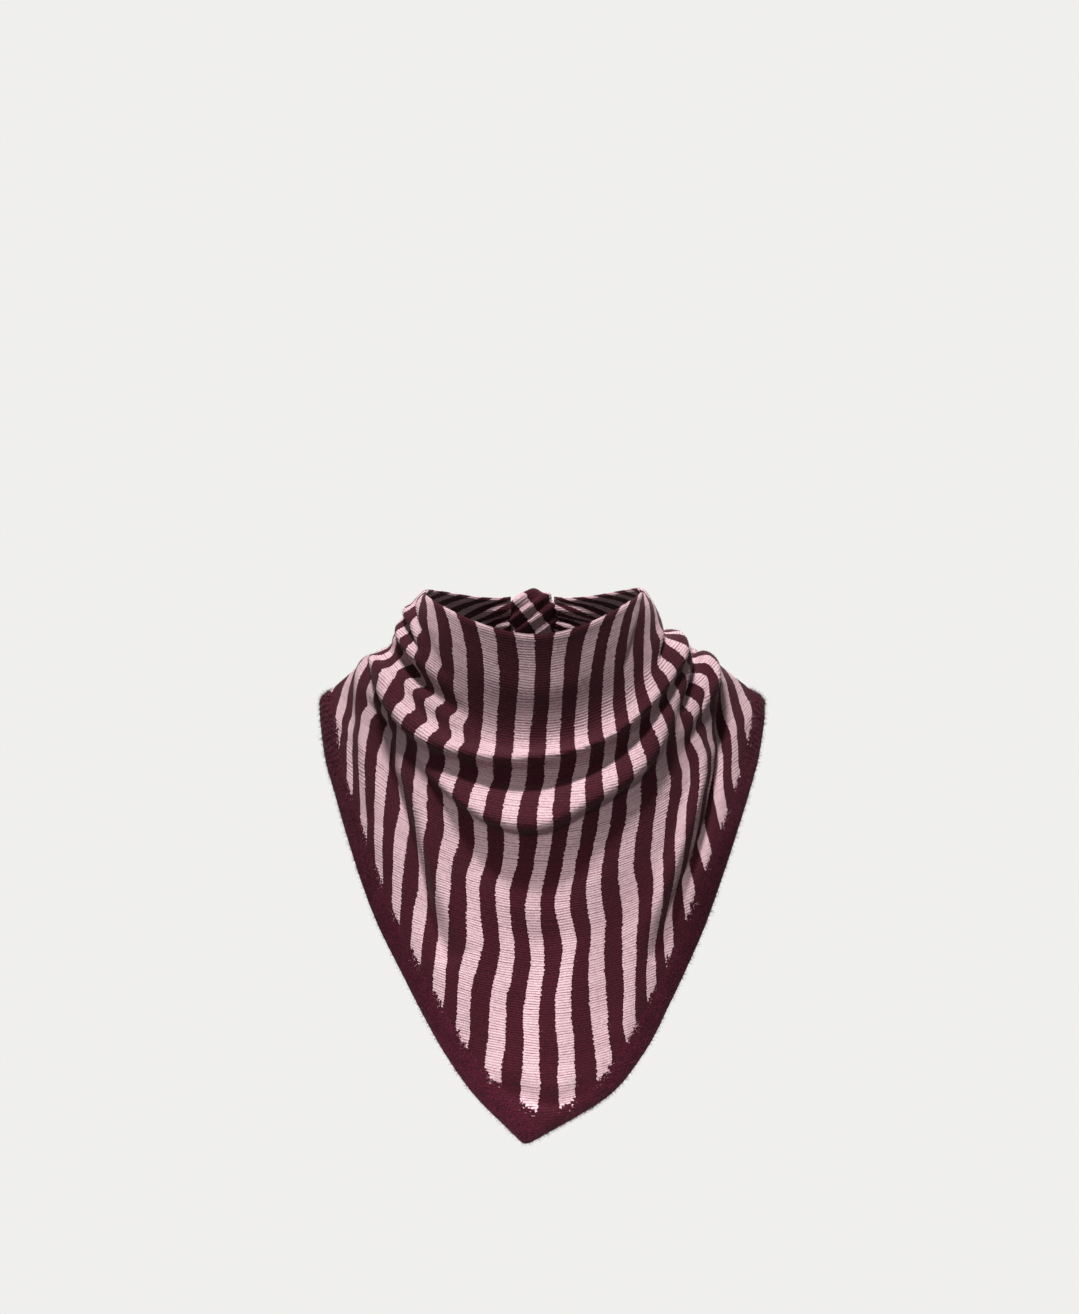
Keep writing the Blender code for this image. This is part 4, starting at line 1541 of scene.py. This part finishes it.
@dataclass
class Studio:
    """The camera, a pale floor that curves up into a backdrop all round, and soft light.

    Sizes are in metres, apart from the camera's lens and sensor, which are in millimetres.
    """

    camera_place: Triple = (0.004, -2.1, 0.022)
    camera_lens: float = 105.4
    camera_sensor: float = 36.0
    floor_z: float = -1.35
    floor_radius: float = 3.0
    wall_radius: float = 4.4
    wall_top: float = 3.6
    curve_points: int = 13
    spin_steps: int = 64
    weld: float = 0.0001
    pale: Colour = (0.87, 0.865, 0.85, 1)
    air: Colour = (0.9, 0.9, 0.9, 1)
    air_strength: float = 0.11
    lamps: tuple[Lamp, ...] = (
        Lamp("overhead softbox", (-0.25, -0.14, 1.9), 0.3, 60),
        Lamp("front pool", (-0.4, -2.0, 0.8), 0.25, 0.34, aim=(0, -0.12, -0.255), spread=9.5),
        Lamp("back fill", (0.6, 2.2, 0.9), 1.2, 42),
    )

    def camera(self) -> None:
        """Sets the camera where the photograph was taken from."""
        data = bpy.data.cameras.new("camera")
        data.sensor_width = self.camera_sensor
        data.lens = self.camera_lens
        camera = bpy.data.objects.new("camera", data)
        camera.location = self.camera_place
        camera.rotation_euler = (math.pi / 2, 0, 0)
        bpy.context.scene.collection.objects.link(camera)
        bpy.context.scene.camera = camera

    def backdrop(self) -> None:
        """Spins the floor's profile into a round, smoothly curved backdrop."""
        mesh = bmesh.new()
        rise = self.wall_radius - self.floor_radius
        curved = [
            (self.floor_radius + rise * math.sin(turn), self.floor_z + rise * (1 - math.cos(turn)))
            for turn in np.linspace(0, math.pi / 2, self.curve_points)
        ]
        profile = [(0.0, self.floor_z), *curved, (self.wall_radius, self.wall_top)]
        row = [mesh.verts.new((reach, 0, height)) for reach, height in profile]
        edges = [mesh.edges.new(pair) for pair in zip(row, row[1:])]
        bmesh.ops.spin(
            mesh, geom=row + edges, cent=(0, 0, 0), axis=(0, 0, 1), dvec=(0, 0, 0),
            angle=math.tau, steps=self.spin_steps, use_merge=True,
        )
        bmesh.ops.remove_doubles(mesh, verts=mesh.verts, dist=self.weld)
        bmesh.ops.recalc_face_normals(mesh, faces=mesh.faces)
        bmesh.ops.reverse_faces(mesh, faces=mesh.faces)
        data = take_mesh("backdrop", mesh)
        data.shade_smooth()
        data.materials.append(self.paper())
        backdrop = bpy.data.objects.new("backdrop", data)
        backdrop.visible_diffuse = False
        backdrop.visible_shadow = False
        bpy.context.scene.collection.objects.link(backdrop)

    def paper(self) -> bpy.types.Material:
        """The backdrop's even, pale paper.

        Returns:
            The material, as bright in shade as in light.
        """
        paper = bpy.data.materials.new("pale paper")
        paper.use_nodes = True
        shader = paper.node_tree.nodes["Principled BSDF"]
        shader.inputs["Base Color"].default_value = (0, 0, 0, 1)
        shader.inputs["Roughness"].default_value = 1.0
        shader.inputs["Specular IOR Level"].default_value = 0.0
        shader.inputs["Emission Color"].default_value = self.pale
        shader.inputs["Emission Strength"].default_value = 1.0
        return paper

    def light(self, lamp: Lamp) -> None:
        """Adds one soft square light that faces the scarf.

        Args:
            lamp: The light.
        """
        data = bpy.data.lights.new(lamp.name, "AREA")
        data.size = lamp.size
        data.energy = lamp.power
        data.spread = math.radians(lamp.spread)
        made = bpy.data.objects.new(lamp.name, data)
        made.location = lamp.place
        aim = Vector(lamp.aim) - Vector(lamp.place)
        made.rotation_euler = aim.to_track_quat("-Z", "Y").to_euler()
        bpy.context.scene.collection.objects.link(made)

    def build(self) -> None:
        """Sets up everything round the scarf."""
        self.camera()
        self.backdrop()
        for lamp in self.lamps:
            self.light(lamp)
        world = bpy.data.worlds.new("studio air")
        world.use_nodes = True
        world.node_tree.nodes["Background"].inputs["Color"].default_value = self.air
        world.node_tree.nodes["Background"].inputs["Strength"].default_value = self.air_strength
        bpy.context.scene.world = world
        bpy.context.scene.view_settings.view_transform = "Standard"


def main() -> None:
    """Builds the scarf's cloth, its tie and its hairs, and sets them in the studio."""
    logging.basicConfig(level=logging.INFO, format="%(name)s: %(message)s")
    Studio().build()
    cut = FlatCut()
    drape = Drape(cut, (*MAIN_FOLDS.values(), *SOFT_CREASES.values()))
    pattern = StripedKnit(cut).group()
    striped = CashmereFinish("striped cashmere").material(pattern)
    edging = CashmereFinish(
        "border cashmere",
        deep=(0.06, 0.005, 0.0155, 1),
        deep_painted_shade=(0.026, 0.0022, 0.007, 1),
        tone=0.34,
        bump=0.35,
        sheen=0.1,
    ).material(pattern)
    # The loose hairs get a lighter deep yarn than the cloth: a painted highlight for fibres that catch the
    # light.
    painted_lit_hair = CashmereFinish(
        "loose cashmere hair",
        deep=(0.13, 0.017, 0.04, 1),
        deep_painted_shade=(0.08, 0.01, 0.025, 1),
        tone=0.1,
        bump=0.0,
        sheen=0.0,
    ).material(pattern)

    triangle = KnittedTriangle(cut, drape)
    panel, panel_area = triangle.worn("striped_panel", triangle.panel_flat(), striped)
    border, border_area = triangle.worn("knit_border", triangle.border_flat(), edging)
    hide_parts("collar", "bib", "shoulder_left", "shoulder_right", "nape_left", "nape_right")
    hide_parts("border_left", "border_right")

    nape_knot = NapeKnot()
    knot = nape_knot.build(striped)
    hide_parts("knot")
    ends = []
    for side in Side:
        strip = FreeEnd(side, nape_knot)
        end = strip.build(striped)
        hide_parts("end_" + side.word)
        ends.append(end)

    panel_hair = Halo("panel_nap", hairs=40000, length=1.9, width=0.09, seed=7).grow(panel, painted_lit_hair)
    border_hair = Halo("border_nap", hairs=44000, length=3.6, width=0.14, seed=11).grow(border, painted_lit_hair)

    for piece in (panel, border, knot, *ends, panel_hair, border_hair):
        log.info("%s: %d faces", piece.name, len(piece.data.polygons))


if __name__ == "__main__":
    main()
